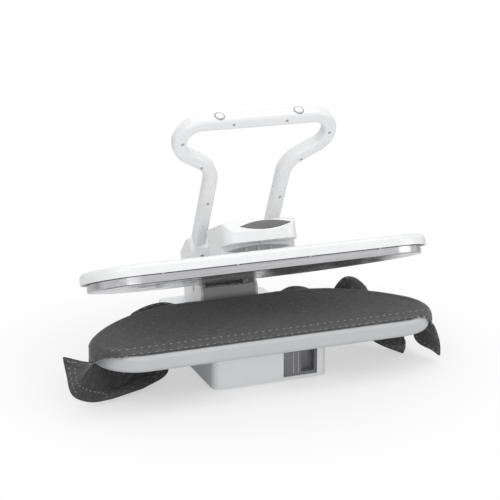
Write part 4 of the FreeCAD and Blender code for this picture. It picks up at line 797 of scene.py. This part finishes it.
def fallen_cloth():
    """Cloth points after the fall, with the grid they belong to."""
    columns, rows, grid = cloth_grid()
    start, out = first_drape(grid)
    held = set(np.where(out < -INNER_HOLD)[0])
    behind_hem = grid[:, 1] + sizes().cloth_front
    on_straight = np.abs(grid[:, 0]) < BOARD_HALF - FRONT_CORNER
    for index in np.where((np.abs(behind_hem) < FRONT_STRIP) & on_straight)[0]:
        start[index, 2] = RIM_Z + FRONT_LIFT + FRONT_LIFT * min(1.0, behind_hem[index] / FRONT_RISE)
        held.add(index)
    hems, start = held_hems(grid, start, out)
    humps = held_humps(grid)
    for index, place in humps.items():
        start[index] = place
    held.update(hems, humps)
    start[:, 1] += BOARD_MID_Y
    mesh = bpy.data.meshes.new("cloth_fall")
    mesh.from_pydata(start.tolist(), [], grid_faces(columns, rows))
    obj = add_object("cloth_fall", mesh)
    flat = np.column_stack([grid, np.full(len(grid), sizes().cloth_z)])
    flat[:, 1] += BOARD_MID_Y
    fallen = drop_cloth(obj, flat, held)
    bpy.data.objects.remove(obj)
    return columns, rows, grid, fallen


def hem_rows(columns, rows, points):
    """Stitch places along the hems: point, direction along the row and outward direction of the cloth."""
    s = sizes()
    shape = points.reshape(columns, rows, 3)

    def at(x, y):
        c = np.clip((x + s.cloth_left) / (s.cloth_left + s.cloth_right) * (columns - 1), 0, columns - 1.001)
        r = np.clip((y + s.cloth_front) / (s.cloth_front + s.cloth_rear) * (rows - 1), 0, rows - 1.001)
        i, j = int(c), int(r)
        u, v = c - i, r - j
        return ((1 - u) * (1 - v) * shape[i, j] + u * (1 - v) * shape[i + 1, j]
                + (1 - u) * v * shape[i, j + 1] + u * v * shape[i + 1, j + 1])

    left, right = -s.cloth_left + ROW_INSET, s.cloth_right - ROW_INSET
    front, rear = -s.cloth_front + ROW_INSET, s.cloth_rear - ROW_INSET
    first_row, second_row = (-s.cloth_front + inset for inset in FRONT_ROWS)
    runs = [((left, first_row), (right, first_row)),
            ((-BOARD_HALF + SECOND_ROW_LEFT, second_row), (BOARD_HALF - SECOND_ROW_RIGHT, second_row))]
    runs += [((-s.cloth_left + inset, front), (-s.cloth_left + inset, rear)) for inset in LEFT_ROWS]
    runs += [((right, front), (right, rear)), ((left, rear), (right, rear))]
    spots = []
    for first, last in runs:
        first, last = np.array(first), np.array(last)
        length = np.linalg.norm(last - first)
        heading = (last - first) / length
        across = np.array([-heading[1], heading[0]])
        for k in range(int(length / s.stitch_pitch) + 1):
            here = first + heading * k * s.stitch_pitch
            along = at(*(here + heading * STITCH_FEEL)) - at(*(here - heading * STITCH_FEEL))
            side = at(*(here + across * STITCH_FEEL)) - at(*(here - across * STITCH_FEEL))
            along /= np.linalg.norm(along)
            up = np.cross(along, side)
            up /= np.linalg.norm(up)
            for face in (up, -up):
                spots.append((at(*here) + face * s.cloth_thick * STITCH_PROUD, along, face))
    return spots


def tree_input(tree, name, kind, value):
    """Identifier of a new named input."""
    made = tree.interface.new_socket(name=name, in_out="INPUT", socket_type=kind)
    if hasattr(made, "default_value") and value is not None:
        made.default_value = value
    return made.identifier


def scatter_tree(name):
    """Node tree that sets a small rounded bar on every point, turned by the point's own directions."""
    tree = bpy.data.node_groups.new(name, "GeometryNodeTree")
    tree.interface.new_socket(name="Geometry", in_out="INPUT", socket_type="NodeSocketGeometry")
    tree.interface.new_socket(name="Geometry", in_out="OUTPUT", socket_type="NodeSocketGeometry")
    keys = {"Length": tree_input(tree, "Length", "NodeSocketFloat", 0.005),
            "Width": tree_input(tree, "Width", "NodeSocketFloat", 0.0015),
            "Finish": tree_input(tree, "Finish", "NodeSocketMaterial", None)}
    nodes, links = tree.nodes, tree.links
    inward = nodes.new("NodeGroupInput")
    outward = nodes.new("NodeGroupOutput")
    ball = nodes.new("GeometryNodeMeshUVSphere")
    ball.inputs["Segments"].default_value = BAR_SIDES
    ball.inputs["Rings"].default_value = BAR_RINGS
    ball.inputs["Radius"].default_value = 0.5
    span = nodes.new("ShaderNodeCombineXYZ")
    links.new(inward.outputs["Length"], span.inputs["X"])
    links.new(inward.outputs["Width"], span.inputs["Y"])
    links.new(inward.outputs["Width"], span.inputs["Z"])
    turn = nodes.new("FunctionNodeAxesToRotation")
    turn.primary_axis = "X"
    turn.secondary_axis = "Z"
    for key, socket in (("along", "Primary Axis"), ("up", "Secondary Axis")):
        field = nodes.new("GeometryNodeInputNamedAttribute")
        field.data_type = "FLOAT_VECTOR"
        field.inputs["Name"].default_value = key
        links.new(field.outputs["Attribute"], turn.inputs[socket])
    put = nodes.new("GeometryNodeInstanceOnPoints")
    links.new(inward.outputs["Geometry"], put.inputs["Points"])
    links.new(ball.outputs["Mesh"], put.inputs["Instance"])
    links.new(turn.outputs["Rotation"], put.inputs["Rotation"])
    links.new(span.outputs["Vector"], put.inputs["Scale"])
    real = nodes.new("GeometryNodeRealizeInstances")
    links.new(put.outputs["Instances"], real.inputs["Geometry"])
    coat = nodes.new("GeometryNodeSetMaterial")
    links.new(real.outputs["Geometry"], coat.inputs["Geometry"])
    links.new(inward.outputs["Finish"], coat.inputs["Material"])
    links.new(coat.outputs["Geometry"], outward.inputs["Geometry"])
    return tree, keys


def scattered(name, spots, length, width, finish):
    """Plain mesh of rounded bars on spots, each a point, a direction and an outward direction."""
    mesh = bpy.data.meshes.new(name)
    mesh.from_pydata([tuple(point) for point, _, _ in spots], [], [])
    for key, column in (("along", 1), ("up", 2)):
        field = mesh.attributes.new(key, "FLOAT_VECTOR", "POINT")
        field.data.foreach_set("vector", np.array([spot[column] for spot in spots]).ravel())
    obj = add_object(name, mesh)
    tree, keys = scatter_tree(name)
    maker = obj.modifiers.new("set_out", "NODES")
    maker.node_group = tree
    maker[keys["Length"]] = length
    maker[keys["Width"]] = width
    maker[keys["Finish"]] = finish
    made = settled(obj, name)
    obj.modifiers.clear()
    obj.data = made
    smooth(made)
    return obj


class PRESS_OT_cloth(bpy.types.Operator):
    """Lays the charcoal cloth over the board, with its hem stitches"""

    bl_idname = "press.cloth"
    bl_label = "Cloth"

    def execute(self, context):
        s = sizes()
        columns, rows, grid, points = fallen_cloth()
        mesh = bpy.data.meshes.new("draped_cloth")
        mesh.from_pydata(points.tolist(), [], grid_faces(columns, rows))
        smooth(mesh)
        flat_map(mesh, [tuple(place) for place in grid])
        cloth = add_object("draped_cloth", mesh)
        hem = cloth.vertex_groups.new(name="hem")
        edge = np.minimum.reduce([grid[:, 0] + s.cloth_left, s.cloth_right - grid[:, 0],
                                  grid[:, 1] + s.cloth_front, s.cloth_rear - grid[:, 1]])
        for index, gap in enumerate(edge):
            hem.add([index], 1.0 if gap < HEM_WIDE else SINGLE_SHARE, "REPLACE")
        even = cloth.modifiers.new("even", "SUBSURF")
        even.levels = even.render_levels = 1
        body = cloth.modifiers.new("body", "SOLIDIFY")
        body.thickness = s.cloth_thick * HEM_FOLD
        body.offset = 0.0
        body.vertex_group = "hem"
        cloth.data = settled(cloth, "draped_cloth")
        cloth.modifiers.clear()
        cloth.data.materials.append(finish_for("charcoal_cloth"))
        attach(cloth, "base")
        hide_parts("pressing_cloth")
        thread = moulded("hem_thread", colours().thread, 0.7, 3000.0)
        spots = hem_rows(columns, rows, points)
        seam = scattered("hem_stitches", spots, s.stitch_long, s.stitch_wide, thread)
        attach(seam, "base")
        return {"FINISHED"}


class PRESS_OT_level_marks(bpy.types.Operator):
    """Sets the raised level marks on the front of the water tank"""

    bl_idname = "press.level_marks"
    bl_label = "Level marks"

    def execute(self, context):
        s = sizes()
        left = TANK_LOW.x + MARK_LEFT
        low = TANK_LOW.z + MARK_LOW
        upright, facing = (0.0, 0.0, 1.0), (0.0, -1.0, 0.0)
        spots = []
        for k in range(s.mark_count):
            for x in (left, left + MARK_COLUMN):
                spots.append(((x, TANK_LOW.y - MARK_PROUD, low + k * s.mark_pitch), upright, facing))
        paint = painted("mark_coat", colours().mark, 0.5)
        marks = scattered("level_marks", spots, MARK_LONG, MARK_WIDE, paint)
        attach(marks, "tank")
        return {"FINISHED"}


def area_lamp(name, place, wide, power):
    """Soft square lamp that faces the press."""
    data = bpy.data.lights.new(name, "AREA")
    data.shape = "SQUARE"
    data.size = wide
    data.energy = power
    lamp = bpy.data.objects.new(name, data)
    lamp.location = place
    lamp.rotation_euler = (Vector(LAMP_AIM) - Vector(place)).to_track_quat("-Z", "Y").to_euler()
    bpy.context.scene.collection.objects.link(lamp)


def far_white(tree):
    """Share of plain white that grows from the press outwards."""
    place = tree.nodes.new("ShaderNodeTexCoord")
    length = tree.nodes.new("ShaderNodeVectorMath")
    length.operation = "LENGTH"
    tree.links.new(place.outputs["Object"], length.inputs[0])
    grow = tree.nodes.new("ShaderNodeMapRange")
    grow.interpolation_type = "SMOOTHSTEP"
    grow.inputs["From Min"].default_value = WHITE_STARTS
    grow.inputs["From Max"].default_value = WHITE_FULL
    grow.inputs["To Min"].default_value = NEAR_WHITE
    tree.links.new(length.outputs["Value"], grow.inputs["Value"])
    return grow.outputs["Result"]


def white_behind(tree, shader, white, rays, weight=None):
    """Shader that is plain white for the named rays, by a share, and the given one for all other light."""
    nodes, links = tree.nodes, tree.links
    path = nodes.new("ShaderNodeLightPath")
    total = path.outputs[rays[0]]
    pairs = [("MAXIMUM", path.outputs[ray]) for ray in rays[1:]]
    if weight:
        pairs.append(("MULTIPLY", weight))
    for operation, other in pairs:
        both = nodes.new("ShaderNodeMath")
        both.operation = operation
        links.new(total, both.inputs[0])
        links.new(other, both.inputs[1])
        total = both.outputs["Value"]
    plain = nodes.new(white)
    plain.inputs["Color"].default_value = WHITE
    plain.inputs["Strength"].default_value = 1.0
    mix = nodes.new("ShaderNodeMixShader")
    links.new(total, mix.inputs["Fac"])
    links.new(shader, mix.inputs[1])
    links.new(plain.outputs[0], mix.inputs[2])
    return mix.outputs["Shader"]


class PRESS_OT_stage(bpy.types.Operator):
    """Sets the table, the studio light and the camera"""

    bl_idname = "press.stage"
    bl_label = "Stage"

    def table(self):
        """Pale table top that keeps the shadow and turns white away from the press."""
        mesh = flat_mesh("table", -TABLE_REACH, TABLE_REACH, -TABLE_REACH, TABLE_REACH, 0.0)
        table = add_object("table", mesh)
        top = bpy.data.materials.new("table_top")
        top.use_nodes = True
        tree = top.node_tree
        shader = tree.nodes["Principled BSDF"]
        shader.inputs["Base Color"].default_value = TABLE_TONE
        shader.inputs["Roughness"].default_value = 0.9
        shader.inputs["Specular IOR Level"].default_value = 0.0
        rays = ("Is Camera Ray", "Is Transmission Ray")
        mixed = white_behind(tree, shader.outputs["BSDF"], "ShaderNodeEmission", rays, far_white(tree))
        tree.links.new(mixed, tree.nodes["Material Output"].inputs["Surface"])
        mesh.materials.append(top)

    def sky(self, scene):
        """White surroundings, dimmer as light than as background."""
        scene.world = bpy.data.worlds.new("studio")
        scene.world.use_nodes = True
        tree = scene.world.node_tree
        sky = tree.nodes["Background"]
        sky.inputs["Color"].default_value = WHITE
        sky.inputs["Strength"].default_value = SKY_STRENGTH
        rays = ("Is Camera Ray", "Is Glossy Ray", "Is Transmission Ray")
        mixed = white_behind(tree, sky.outputs["Background"], "ShaderNodeBackground", rays)
        tree.links.new(mixed, tree.nodes["World Output"].inputs["Surface"])

    def dark_card(self):
        """Dark card behind the press that only shows as a reflection in the heated plate."""
        mesh = flat_mesh("dark_card", CARD_LEFT, CARD_RIGHT, CARD_NEAR, CARD_FAR, CARD_Z)
        card = add_object("dark_card", mesh)
        mesh.materials.append(finish_for("rubber"))
        for kind in ("camera", "diffuse", "transmission", "shadow"):
            setattr(card, "visible_" + kind, False)

    def camera(self, scene):
        """Camera in front of the press, to its left and above it."""
        data = bpy.data.cameras.new("view")
        data.sensor_width = FILM_MM
        data.lens = LENS_MM
        data.clip_start = 0.05
        data.clip_end = 50.0
        camera = bpy.data.objects.new("view", data)
        camera.location = EYE
        camera.rotation_euler = (Vector(EYE_AIM) - Vector(EYE)).to_track_quat("-Z", "Y").to_euler()
        scene.collection.objects.link(camera)
        scene.camera = camera

    def execute(self, context):
        scene = context.scene
        scene.view_settings.view_transform = "Standard"
        self.table()
        self.sky(scene)
        for name, place, wide, power in LAMPS:
            area_lamp(name, place, wide, power)
        self.dark_card()
        self.camera(scene)
        return {"FINISHED"}


class PRESS_PT_panel(bpy.types.Panel):
    """Lists the steps that dress the press"""

    bl_idname = "PRESS_PT_panel"
    bl_label = "Press"
    bl_space_type = "VIEW_3D"
    bl_region_type = "UI"
    bl_category = "Press"

    def draw(self, context):
        for step in STEPS:
            self.layout.operator(step.bl_idname)
        for group in (context.scene.press_sizes, context.scene.press_colours):
            for key in group.__annotations__:
                self.layout.prop(group, key)


STEPS = (PRESS_OT_finishes, PRESS_OT_pad, PRESS_OT_cloth, PRESS_OT_level_marks, PRESS_OT_stage)
CLASSES = (PressSizes, PressColours) + STEPS + (PRESS_PT_panel,)


def register():
    for item in CLASSES:
        bpy.utils.register_class(item)
    bpy.types.Scene.press_sizes = PointerProperty(type=PressSizes)
    bpy.types.Scene.press_colours = PointerProperty(type=PressColours)


def unregister():
    del bpy.types.Scene.press_colours
    del bpy.types.Scene.press_sizes
    for item in reversed(CLASSES):
        bpy.utils.unregister_class(item)


def main():
    register()
    bpy.ops.press.finishes()
    bpy.ops.press.pad()
    bpy.ops.press.cloth()
    bpy.ops.press.level_marks()
    bpy.ops.press.stage()


if __name__ == "__main__":
    main()
